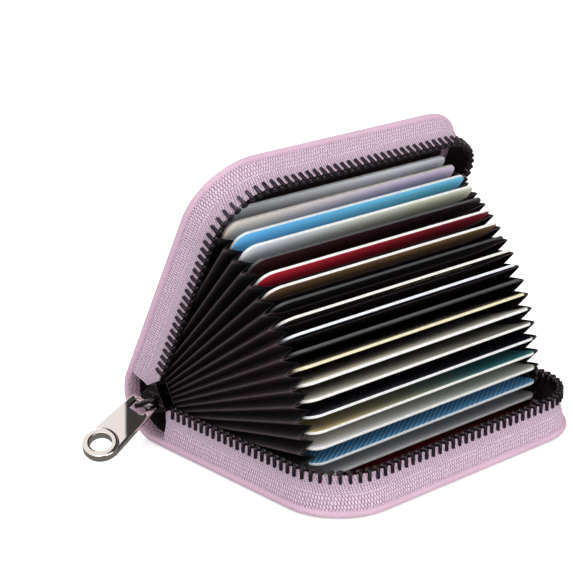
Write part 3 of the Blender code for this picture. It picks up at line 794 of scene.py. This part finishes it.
def makeTooth(name):
    # a clamp over the tape's edge, with a round cup on its head
    size = tooth
    half, long = size["half"], size["long"] / 2
    piece = addBox(name, (-half, -long, size["foot"]), (half, long, size["shoulder"]))
    pick(piece, "FACE", lambda face: face.normal.z > 0.9)
    bpy.ops.mesh.inset(thickness=size["headInset"])
    bpy.ops.transform.translate(value=size["headShift"])
    pick(piece, "VERT", lambda vertex: vertex.co.z < size["foot"] + 0.1 * mm)
    bpy.ops.transform.resize(value=size["footShape"], center_override=(0.0, 0.0, size["foot"]))
    doneEditing()
    soften(piece, size["soft"], 1, 30.0)
    clearSelection()
    bpy.ops.mesh.primitive_uv_sphere_add(segments=10, ring_count=5, radius=1.0, location=size["cup"])
    cup = named("cup")
    cup.scale = size["cupSize"]
    settle()
    return join(name, [piece, cup])


def makeTeeth(side, shift):
    size = tooth
    piece = makeTooth(side + "Teeth")
    spots = [size["first"] + size["pitch"] * (number + shift) for number in range(size["count"])]
    copyAlong(piece, [standing(*zipPlace(along, wallet["zipInset"])) for along in spots])
    dress(piece, burnished)
    seat(piece, onCover(side), side + "_cover", degrees=45.0)


def makeEndStop(side):
    piece = makeTooth(side + "EndStop")
    for vertex in piece.data.vertices:
        vertex.co.y *= tooth["stopLonger"]
    along = zipLength - tooth["first"] - tooth["stopBack"]
    dress(piece, burnished)
    spot = onCover(side) @ standing(*zipPlace(along, wallet["zipInset"]))
    seat(piece, spot, side + "_cover", side + "_end_stop", degrees=45.0)


for side, shift in (("bottom", 0.5), ("top", 1.0)):
    makeStrip(side, "ZipTape", zipTape, "zip", "leatherJacket", side + "_zip_strand")
    makeStrip(side, "InnerWall", cloth, "lining", side + "ZipTape")
    makeTeeth(side, shift)
    makeEndStop(side)
print("zip made")


# Slider with its arched loop, and the pull

slider = {
    "tape": -47.8 * mm,
    "inner": 1.3 * mm,
    "plate": 1.0 * mm,
    "front": 5.2 * mm,
    "rear": 3.8 * mm,
    "frontHalf": 4.2 * mm,
    "rearHalf": 2.9 * mm,
    "corner": 1.4 * mm,
    "soft": 0.22 * mm,
    "lipHalf": 0.45 * mm,
    "lipSpan": (-4.4 * mm, 2.4 * mm),
    "lipGap": 0.65 * mm,  # from the tape's middle to a lip's free edge
    "lipSunk": 0.5 * mm,
    "lipBack": 0.3 * mm,  # from a plate's outer face
    "lipSoft": 0.2 * mm,
    "postSpan": (-4.2 * mm, -0.6 * mm),
    "postHalf": 1.1 * mm,
    "postCorner": 0.9 * mm,
    "root": 0.4 * mm,  # how far the post and the arch go into the plates
    "archHalf": 3.45 * mm,
    "archRise": 3.95 * mm,
    "wire": 0.75 * mm,
}


def sliderPlate(name, low, high):
    size = slider
    piece = addBox(name, (low, -size["front"], -size["frontHalf"]), (high, size["rear"], size["frontHalf"]))
    pick(piece, "VERT", lambda vertex: vertex.co.y > 0.0)
    squeeze = size["rearHalf"] / size["frontHalf"]
    bpy.ops.transform.resize(value=(1.0, 1.0, squeeze), center_override=(0.0, 0.0, 0.0))
    bevelEdges(piece, lambda edge: reaches(edge, 0) > 0.5 * mm, size["corner"], 5)
    doneEditing()
    soften(piece, size["soft"], 3, 50.0)
    return piece


def sliderLip(name, low, high, above):
    # the turned edge of a plate, over or under the tape, which follows the plate's taper
    size = slider
    edge, half = size["rearHalf"] * above, size["lipHalf"]
    front, rear = size["lipSpan"]
    piece = addBox(name, (low, front, edge - half), (high, rear, edge + half))
    rise = (size["frontHalf"] - size["rearHalf"]) * above
    for vertex in piece.data.vertices:
        share = (size["rear"] - vertex.co.y) / (size["front"] + size["rear"])
        vertex.co.z += rise * share - above * size["lipSunk"]
    apply(piece, "BEVEL", width=size["lipSoft"], segments=2)
    return piece


def sliderPost(reach):
    half, (front, rear) = slider["postHalf"], slider["postSpan"]
    piece = addBox("post", (slider["tape"] - reach, front, -half), (slider["tape"] + reach, rear, half))
    bevelEdges(piece, lambda edge: reaches(edge, 0) > 0.5 * mm, slider["postCorner"], 4)
    doneEditing()
    return piece


def sliderArch(foot):
    size = slider
    clearSelection()
    bpy.ops.mesh.primitive_torus_add(
        major_segments=40, minor_segments=14, major_radius=size["archHalf"], minor_radius=size["wire"]
    )
    piece = named("arch")
    piece.scale = (size["archRise"] / size["archHalf"], 1.0, 1.0)
    piece.location = (foot, 0.0, 0.0)
    settle()
    cutAt(foot + size["root"], (1.0, 0.0, 0.0), clear_outer=True, use_fill=True)
    doneEditing()
    return piece


def makeSlider():
    size = slider
    middle, inner = size["tape"], size["inner"]
    outer, gap = inner + size["plate"], size["lipGap"]
    lip = outer - size["lipBack"]
    parts = [
        sliderPlate("sliderOuter", middle - outer, middle - inner),
        sliderPlate("sliderInner", middle + inner, middle + outer),
    ]
    for above in (1, -1):
        parts.append(sliderLip("lipOut", middle - lip, middle - gap, above))
        parts.append(sliderLip("lipIn", middle + gap, middle + lip, above))
    parts += [sliderPost(outer - size["root"]), sliderArch(middle - outer)]
    piece = join("zipSlider", parts)
    dress(piece, gunmetal)
    seat(piece, onLeaf(wallet["pockets"] / 2), "bottom_cover", "slider_body", degrees=35.0)


pull = {
    "long": 18.4 * mm,
    "endWidth": 8.2 * mm,
    "endCorner": 0.7 * mm,
    "plate": 1.2 * mm,
    "swell": 0.5 * mm,
    "ring": 5.0 * mm,
    "hole": 3.1 * mm,
    "ringHigh": 2.6 * mm,
    "bar": 1.2 * mm,
    "slotLong": 3.6 * mm,
    "slotWide": 5.2 * mm,
    "archHigh": 4.7 * mm,  # from the plate to the top of the arch
    "play": 0.4 * mm,  # between the crossbar and the arch's wire
    "crown": 0.25 * mm,  # how far the plate's face swells
    "crownAt": 8.0 * mm,
    "sides": 4.0,  # and how it falls to its two sides
    "cutsLong": range(1, 18),  # cuts along the plate, in millimetres
    "cutsWide": range(-4, 5),
    "tabEnd": 4.1 * mm,  # the plate stops here, inside the ring's band
    "droop": radians(20.0),
    "twist": radians(22.0),
    "sway": radians(8.0),
    "soft": 0.25 * mm,
    "ringSoft": 0.45 * mm,
    "holeSoft": 0.12 * mm,
}


def pullPlace():
    crown = -slider["tape"] + slider["inner"] + slider["plate"] + pull["archHigh"] - slider["wire"]
    out = crown - (pull["bar"] / 2 ** 0.5 + slider["wire"] + pull["play"])
    spot = Matrix.Translation(hinge + Vector((-out, 0.0, 0.0)))
    turned = Matrix.Rotation(-pull["droop"], 4, "Y") @ Matrix.Rotation(pull["twist"], 4, "X")
    return spot @ turned @ Matrix.Rotation(pi + pull["sway"], 4, "Z")


def combine(piece, other, operation):
    apply(piece, "BOOLEAN", object=other, operation=operation, solver="EXACT")
    bpy.data.objects.remove(other, do_unlink=True)


def makePullTab():
    # a flat plate that widens and thickens to the ring, with a slightly domed face
    size = pull
    foot = -size["plate"] / 2
    piece = addBox("pullTab", (-size["bar"] / 2, -size["ring"], foot), (size["long"], size["ring"], -foot))
    pick(piece, "VERT", lambda vertex: vertex.co.x < 0.0)
    narrow = size["endWidth"] / 2 / size["ring"]
    bpy.ops.transform.resize(value=(1.0, narrow, 1.0), center_override=(0.0, 0.0, 0.0))
    pick(piece, "VERT", lambda vertex: vertex.co.x > 0.0 and vertex.co.z > 0.0)
    bpy.ops.transform.translate(value=(0.0, 0.0, size["swell"]))
    bevelEdges(piece, lambda edge: reaches(edge, 2) > -foot and edge.verts[0].co.x < 0, size["endCorner"], 4)
    for cut in size["cutsLong"]:
        cutAt(cut * mm, (1.0, 0.0, 0.0))
    for cut in size["cutsWide"]:
        cutAt(cut * mm, (0.0, 1.0, 0.0))
    doneEditing()
    for vertex in piece.data.vertices:
        if vertex.co.z > 0.0:
            vertex.co.z += size["crown"] * (1.0 - (vertex.co.x / size["crownAt"] - 1.0) ** 2)
            vertex.co.z -= size["sides"] * vertex.co.y ** 2
    clearSelection()
    end = (size["long"], 0.0, 0.0)
    bpy.ops.mesh.primitive_cylinder_add(vertices=72, radius=size["tabEnd"], depth=20 * mm, location=end)
    combine(piece, named("tabEnd"), "DIFFERENCE")
    start, half = size["bar"] / 2, size["slotWide"] / 2
    slot = addBox("slot", (start, -half, -5 * mm), (start + size["slotLong"], half, 5 * mm))
    combine(piece, slot, "DIFFERENCE")
    soften(piece, size["soft"], 4, 35.0)
    return piece


def makePullRing():
    # the ring's section, turned about the middle of its hole
    size = pull
    wide, high = size["ring"] - size["hole"], size["ringHigh"]
    middle = size["long"] + (size["ring"] + size["hole"]) / 2
    clearSelection()
    bpy.ops.mesh.primitive_plane_add(size=1.0, rotation=(pi / 2, 0.0, 0.0))
    piece = named("pullRing")
    piece.scale = (wide, high, 1.0)
    piece.location = (middle, 0.0, (high - size["plate"]) / 2)
    settle()
    for side, soft in ((1, size["ringSoft"]), (-1, size["holeSoft"])):
        pick(piece, "VERT", lambda vertex: (vertex.co.x - middle) * side > wide / 2 - 0.05 * mm)
        bpy.ops.mesh.bevel(offset=soft, affect="VERTICES", segments=5)
    pickAll()
    bpy.ops.mesh.delete(type="ONLY_FACE")
    pickAll()
    bpy.ops.mesh.spin(steps=96, angle=2 * pi, center=(size["long"], 0.0, 0.0), axis=(0.0, 0.0, 1.0))
    pickAll()
    bpy.ops.mesh.remove_doubles(threshold=tiny)
    bpy.ops.mesh.normals_make_consistent(inside=False)
    doneEditing()
    return piece


def makePull():
    piece = makePullTab()
    combine(piece, makePullRing(), "UNION")
    dress(piece, polished)
    seat(piece, pullPlace(), "pull", "slider_pull", degrees=30.0)


makeSlider()
makePull()
print("slider and pull made")


# Accordion: side pleats, leaves, backing and spine lining

pleat = {
    "slope": 2.8,  # how deep a pleat folds in for its height
    "perFold": 6,
    "columns": 26,
    "thick": 0.2 * mm,
    "soften": 0.09,
    "back": 3.95 * mm,
    "sag": 0.12 * mm,
    "sagScale": 110.0,
    "flat": (50.0 * mm, 170.0 * mm),
}


def bendSheet(piece, place, thick, finish, node, degrees=50.0):
    shares = thicken(piece, thick, layOut(piece, place))
    smooth(piece, degrees)
    dress(piece, finish)
    bendWith(piece)
    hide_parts(node)


def makeGusset(side, out):
    size, pockets = pleat, wallet["pockets"]

    def place(across, up):
        reach = size["back"] + across * (wallet["mouth"] - size["back"])
        index = up * pockets
        wave = abs(2 * (index - round(index)))  # 0 on a ridge, 1 in a valley
        wave = (wave * wave + size["soften"] ** 2) ** 0.5 - size["soften"]
        gap = wallet["pitch"] + 2 * reach * sin(wallet["opening"] / pockets / 2)
        if index < 1.0 or index > pockets - 1:
            gap -= wallet["coverGap"]
        sag = size["sag"] * noise.noise(Vector((reach * size["sagScale"], index * 1.3, out * 5.0)))
        x = out * (wallet["ridge"] - size["slope"] * gap / 2 * wave + sag * (1.0 - wave))
        return fanPoint(index, reach, x), (index * clothLook["fold"] * mm, wallet["mouth"] - reach), up

    piece = addGrid(side + "Gusset", size["columns"], 2 * pockets * size["perFold"])
    bendSheet(piece, place, size["thick"], foldedCloth, side + "_gusset", 180.0)


leaf = {
    "back": 4.2 * mm,
    "margin": 0.35 * mm,
    "thick": 0.2 * mm,
    "hollow": 4.6 * mm,  # how far the front edge is cut back between its two ends
    "shoulder": 11.0 * mm,
    "wave": 0.25 * mm,
    "waveScale": 60.0,
}


def makeLeaf(index):
    # one divider between two pockets, sewn into a ridge of the pleats on each side
    name, body = f"leaf{index:02d}", f"leaf_{index:02d}"
    half, back, mouth = wallet["ridge"] - leaf["margin"], leaf["back"], wallet["mouth"]

    def place(across, share):
        x = (across - 0.5) * 2 * half
        wave = leaf["wave"] * noise.noise(Vector((x * leaf["waveScale"], index * 3.7, 0.0)))
        front = mouth - (leaf["hollow"] + wave) * smoothStep((half - abs(x)) / leaf["shoulder"])
        reach = back + share * (front - back)
        return (x, -reach, leafHeight(index)), (x, front - reach), 0.0

    piece = addGrid(name, 44, 18)
    thicken(piece, leaf["thick"], layOut(piece, place))
    dress(piece, cloth)
    seat(piece, onLeaf(index), body, body, degrees=50.0)


backing = {"wide": 92.4 * mm, "high": 25.5 * mm, "reach": 3.7 * mm, "thick": 0.35 * mm}


def makeBacking():
    size, pockets = backing, wallet["pockets"]

    def place(across, up):
        x, index = (across - 0.5) * size["wide"], up * pockets
        return fanPoint(index, size["reach"], x), (x, index * wallet["pitch"] + clearOfEdge), up

    piece = addGrid("pocketBacking", 10, pockets * 2)
    bendSheet(piece, place, size["thick"], cloth, "pocket_backing")


spineLining = {"wide": 90.6 * mm, "high": 23.5 * mm, "deep": 1.5 * mm, "thick": 0.4 * mm}


def makeSpineLining():
    size = spineLining

    def place(across, up):
        x, along = (across - 0.5) * size["wide"], up * spineArc
        point, share = wrapPoint(x, along, size["deep"])
        return point, (x, along + clearOfEdge), share

    piece = addGrid("spineLining", 10, 36)
    bendSheet(piece, place, size["thick"], cloth, "spine_lining")


makeGusset("left", -1)
makeGusset("right", 1)
for index in range(1, wallet["pockets"]):
    makeLeaf(index)
makeBacking()
makeSpineLining()
print("accordion made")


# Cards, from the bottom pocket up

card = {
    "long": 85.6 * mm,
    "wide": 53.98 * mm,
    "thick": 0.76 * mm,
    "corner": 3.18 * mm,
    "soft": 0.09 * mm,
    "reach": 59.8 * mm,  # from the hinge line to the lowest card's front edge
    "stagger": 1.8 * mm,  # and how much further the topmost card reaches
}
cardLooks = [  # slot, colour at the left end, colour at the right end, edge
    ("dark_red", (0.25, 0.02, 0.03), (0.18, 0.015, 0.02), (0.30, 0.05, 0.06)),
    ("grey", (0.40, 0.40, 0.41), (0.28, 0.28, 0.29), (0.70, 0.68, 0.68)),
    ("striped_blue", (0.03, 0.15, 0.30), (0.05, 0.20, 0.42), (0.78, 0.79, 0.80)),
    ("pale_grey", (0.70, 0.72, 0.78), (0.62, 0.60, 0.54), (0.80, 0.80, 0.78)),
    ("teal", (0.62, 0.50, 0.26), (0.06, 0.26, 0.28), (0.80, 0.79, 0.75)),
    ("midnight", (0.010, 0.012, 0.022), (0.008, 0.010, 0.02), (0.76, 0.76, 0.76)),
    ("mid_grey", (0.60, 0.57, 0.50), (0.34, 0.33, 0.28), (0.80, 0.78, 0.74)),
    ("white", (0.80, 0.78, 0.74), (0.84, 0.84, 0.82), (0.80, 0.80, 0.78)),
    ("cream", (0.80, 0.72, 0.50), (0.72, 0.68, 0.52), (0.78, 0.71, 0.48)),
    ("charcoal", (0.025, 0.025, 0.028), (0.02, 0.02, 0.022), (0.075, 0.080, 0.082)),
    ("navy", (0.012, 0.020, 0.045), (0.012, 0.016, 0.04), (0.74, 0.76, 0.80)),
    ("dark_brown", (0.022, 0.016, 0.012), (0.016, 0.012, 0.010), (0.78, 0.76, 0.70)),
    ("black", (0.010, 0.010, 0.012), (0.010, 0.010, 0.012), (0.060, 0.060, 0.064)),
    ("brown", (0.16, 0.090, 0.045), (0.24, 0.135, 0.07), (0.78, 0.76, 0.72)),
    ("crimson", (0.55, 0.020, 0.050), (0.26, 0.012, 0.03), (0.80, 0.78, 0.76)),
    ("gloss_black", (0.012, 0.012, 0.014), (0.010, 0.010, 0.014), (0.075, 0.078, 0.082)),
    ("silver", (0.80, 0.84, 0.92), (0.80, 0.82, 0.62), (0.80, 0.80, 0.78)),
    ("sky_blue", (0.14, 0.52, 0.86), (0.18, 0.60, 0.90), (0.80, 0.82, 0.84)),
    ("lilac", (0.90, 0.77, 0.66), (0.78, 0.62, 0.76), (0.74, 0.70, 0.66)),
    ("blue_grey", (0.44, 0.46, 0.49), (0.84, 0.88, 0.92), (0.58, 0.59, 0.61)),
]
cardPrint = {
    "banded": (2, 4, 6, 8, 10, 12, 14, 15, 17),  # cards with a dark band near their back edge
    "band": (0.03, 0.022, 0.02, 1.0),
    "bandMiddle": 10.5,  # millimetres from the back edge
    "bandHalf": (6.5, 6.3),
    "line": (0.30, 0.55, 0.72, 1.0),
    "lineEach": 2.1,
    "lineSlant": 1.45,
    "film": {"Coat Weight": 0.3, "Coat Roughness": 0.22},
    "gloss": (0.24, 0.40),
}


def edgeFinish(name, colour):
    # the cut edge of laminated plastic
    finish = newFinish(name, colour, 0.42)
    layers = speckle(finish, add(finish, "TexCoord").outputs["Object"], 700.0, 2.0)
    bump(finish, layers, 0.02 * mm)
    paint = ramp(finish, layers, [(0.3, tuple(0.86 * part for part in colour)), (0.6, colour)])
    drive(finish, "Base Color", paint)
    return finish


def cardFinish(name, left, right, banded):
    # print that runs from one tint to the other along the card, under a clear film
    look = cardPrint
    finish = newFinish(name + " card print", left, 0.30, more=look["film"])
    spot = millimetres(finish)
    across, up = add(finish, "SeparateXYZ", {0: spot}).outputs[:2]
    paint = ramp(finish, spread(finish, across, 0.0, card["long"] / mm), [(0.12, left), (0.75, right)])
    if name == "striped_blue":
        slant = timesPlus(finish, up, look["lineSlant"], across)
        wave = bands(finish, slant, look["lineEach"])
        lines = ramp(finish, wave, [(0.76, (0.0, 0.0, 0.0)), (0.97, (0.8, 0.8, 0.8))])
        paint = mixed(finish, lines, paint, look["line"])
    if banded:
        fromMiddle = sums(finish, "ABSOLUTE", sums(finish, "SUBTRACT", up, look["bandMiddle"]))
        paint = mixed(finish, spread(finish, fromMiddle, *look["bandHalf"]), paint, look["band"])
    drive(finish, "Base Color", paint)
    haze = speckle(finish, spot, 0.5, 4.0)
    bump(finish, haze, 0.01 * mm)
    drive(finish, "Roughness", spread(finish, haze, 0.0, 1.0, *look["gloss"]))
    return finish


def cardSpot(number):
    # the mouth-side edge and the middle height of a card, on its leaf
    near = card["reach"] + card["stagger"] * number / (wallet["pockets"] - 1)
    return near, leafHeight(number) + wallet["pitch"] / 2


def makeCard(number):
    slot, left, right, rim = cardLooks[number]
    near, height = cardSpot(number)
    half, thin, body = card["long"] / 2, card["thick"] / 2, f"card_{number + 1:02d}"
    low, high = (-half, -near, height - thin), (half, -near + card["wide"], height + thin)
    piece = addBox(f"card{number + 1:02d}", low, high)
    bevelEdges(piece, lambda edge: reaches(edge, 2) > 0.1 * mm, card["corner"], 10)
    doneEditing()
    soften(piece, card["soft"], 2, 60.0)
    setUv(piece, [(v.co.x + half, card["wide"] - near - v.co.y) for v in piece.data.vertices])
    dress(piece, cardFinish(slot, left, right, number in cardPrint["banded"]))
    piece.data.materials.append(edgeFinish(slot + " card edge", rim))
    for face in piece.data.polygons:
        face.material_index = 0 if abs(face.normal.z) > 0.9 else 1
    seat(piece, onLeaf(number), body, body, degrees=30.0)


chip = {
    "cards": (3, 5, 7, 9, 11, 13, 16, 18),
    "long": 12.6 * mm,
    "wide": 11.0 * mm,
    "thick": 0.05 * mm,
    "corner": 1.6 * mm,
    "fromEnd": 10.2 * mm,
    "groove": 0.12 * mm,
    "proud": 0.02 * mm,
    "cutsAcross": (0.33, 0.67),
    "cutsAlong": (0.28, 0.5, 0.72),
}


def makeChip(number):
    # gold contact plate, cut into fields
    size = chip
    near, height = cardSpot(number)
    left = -card["long"] / 2 + size["fromEnd"]
    back = -near + card["wide"] / 2 - size["wide"] / 2
    face = height + card["thick"] / 2
    high = (left + size["long"], back + size["wide"], face + size["thick"] / 2)
    piece = addBox(f"chip{number + 1:02d}", (left, back, face - size["thick"]), high)
    bevelEdges(piece, lambda edge: reaches(edge, 2) > 0.01 * mm, size["corner"], 4)
    for cut in size["cutsAcross"]:
        cutAt(left + size["long"] * cut, (1.0, 0.0, 0.0))
    for cut in size["cutsAlong"]:
        cutAt(back + size["wide"] * cut, (0.0, 1.0, 0.0))
    pick(piece, "FACE", lambda face: face.normal.z > 0.9)
    bpy.ops.mesh.inset(thickness=size["groove"], use_individual=True)
    bpy.ops.transform.translate(value=(0.0, 0.0, size["proud"]))
    doneEditing()
    dress(piece, gold)
    seat(piece, onLeaf(number), f"card_{number + 1:02d}", degrees=None)


digits = {
    "cards": (11, 13),
    "text": "0000 0000 0000 0000",
    "high": 2.5 * mm,
    "apart": 1.35,
    "proud": 0.04 * mm,
    "left": -2.0 * mm,
    "fromEdge": 4.6 * mm,
}


def makeDigits(number):
    # plain raised numerals under the card's mouth edge, as they show in the fan
    size = digits
    near, height = cardSpot(number)
    clearSelection()
    bpy.ops.object.text_add(rotation=(pi, 0.0, 0.0))
    words = bpy.context.object.data
    words.body = size["text"]
    words.size = size["high"]
    words.space_character = size["apart"]
    words.extrude = size["proud"]
    words.resolution_u = 3
    bpy.ops.object.convert(target="MESH")
    piece = named(f"digits{number + 1:02d}")
    piece.location = (size["left"], -near + size["fromEdge"], height - card["thick"] / 2)
    settle()
    dress(piece, gold)
    seat(piece, onLeaf(number), f"card_{number + 1:02d}", degrees=None)


for number in range(wallet["pockets"]):
    makeCard(number)
for number in chip["cards"]:
    makeChip(number)
for number in digits["cards"]:
    makeDigits(number)
print("cards made")


# Table, light and camera

studio = {
    "floor": (0.90, 0.90, 0.905),
    "glow": 0.42,
    "mirrored": 0.18,  # the table as polished metal shows it
    "world": 0.80,
    "dark": 0.055,  # the unlit part of the room that polished metal shows
    "darkFrom": (-0.041, -0.053),
    "darkLean": -0.77,
    "aim": Vector((0.0, 0.0, 0.03)),
    "lamps": {  # place, size, power
        "key": (Vector((-0.30, -0.22, 0.62)), 0.45, 1.5),
        "fill": (Vector((-0.05, -0.70, 0.16)), 0.45, 2.0),
        "back": (Vector((0.10, 0.62, 0.52)), 0.25, 1.9),
    },
}


def glowing(finish, strength):
    return add(finish, "Emission", {"Color": (1.0, 1.0, 1.0, 1.0), "Strength": strength}).outputs[0]


def either(finish, share, first, second):
    return add(finish, "MixShader", {0: share, 1: first, 2: second}).outputs[0]


def makeTable():
    clearSelection()
    bpy.ops.mesh.primitive_plane_add(size=6.0, location=(0.0, 0.0, -0.2 * mm))
    table = named("table")
    finish = newFinish("white table", studio["floor"], 0.6)
    path = add(finish, "LightPath").outputs
    white = either(finish, path["Is Camera Ray"], glowing(finish, 0.0), glowing(finish, studio["glow"]))
    nodes = finish.node_tree.nodes
    lit = add(finish, "AddShader", {0: nodes["Principled BSDF"].outputs[0], 1: white}).outputs[0]
    seen = either(finish, path["Is Glossy Ray"], lit, glowing(finish, studio["mirrored"]))
    feed(finish, nodes["Material Output"].inputs["Surface"], seen)
    dress(table, finish)


def makeRoom():
    # even light, white to the camera; polished metal shows a bright side and a dark one
    world = bpy.data.worlds.new("studio")
    bpy.context.scene.world = world
    world.use_nodes = True
    back = world.node_tree.nodes["Background"]
    back.inputs["Color"].default_value = (1.0, 1.0, 1.0, 1.0)
    way = add(world, "SeparateXYZ", {0: add(world, "TexCoord").outputs["Generated"]}).outputs
    eastward = timesPlus(world, way[1], studio["darkLean"], way[0])
    lit = spread(world, eastward, *studio["darkFrom"], studio["dark"], 1.0)
    path = add(world, "LightPath").outputs
    plain = spread(world, path["Is Camera Ray"], 0.0, 1.0, studio["world"], 1.0)
    level = add(world, "Mix", {"Factor": path["Is Glossy Ray"], "A": plain, "B": lit}, data_type="FLOAT")
    feed(world, back.inputs["Strength"], level.outputs[0])


def putUp(name, data):
    stand = bpy.data.objects.new(name, data)
    bpy.context.scene.collection.objects.link(stand)
    return stand


def makeLamp(name, spot, size, power):
    lamp = bpy.data.lights.new(name, "AREA")
    lamp.shape = "SQUARE"
    lamp.size = size
    lamp.energy = power
    stand = putUp(name, lamp)
    stand.location = spot
    stand.rotation_euler = (studio["aim"] - spot).to_track_quat("-Z", "Y").to_euler()


view = {
    "azimuth": radians(-41.4),
    "elevation": radians(19.07),
    "roll": radians(-0.53),
    "target": Vector((-32.4, 0.0, 51.6)) * mm,
    "distance": 473.0 * mm,
    "focal": 1811.0,  # in pixels of the photograph
    "photoWidth": 573.0,
    "sensor": 36.0,
}


def makeCamera():
    a, e, roll = view["azimuth"], view["elevation"], view["roll"]
    back = Vector((sin(a) * cos(e), -cos(a) * cos(e), sin(e)))
    right = Vector((cos(a), sin(a), 0.0))
    up = back.cross(right)
    across = right * cos(roll) + up * sin(roll)
    above = up * cos(roll) - right * sin(roll)
    data = bpy.data.cameras.new("camera")
    data.lens = view["focal"] / view["photoWidth"] * view["sensor"]
    data.sensor_width = view["sensor"]
    data.clip_start = 0.01
    camera = putUp("camera", data)
    spot = view["target"] + back * view["distance"]
    turned = Matrix((across, above, back)).transposed().to_4x4()
    camera.matrix_world = Matrix.Translation(spot) @ turned
    bpy.context.scene.camera = camera
    bpy.context.scene.view_settings.view_transform = "Standard"


makeTable()
makeRoom()
for name, lamp in studio["lamps"].items():
    makeLamp(name, *lamp)
makeCamera()
print("studio made")
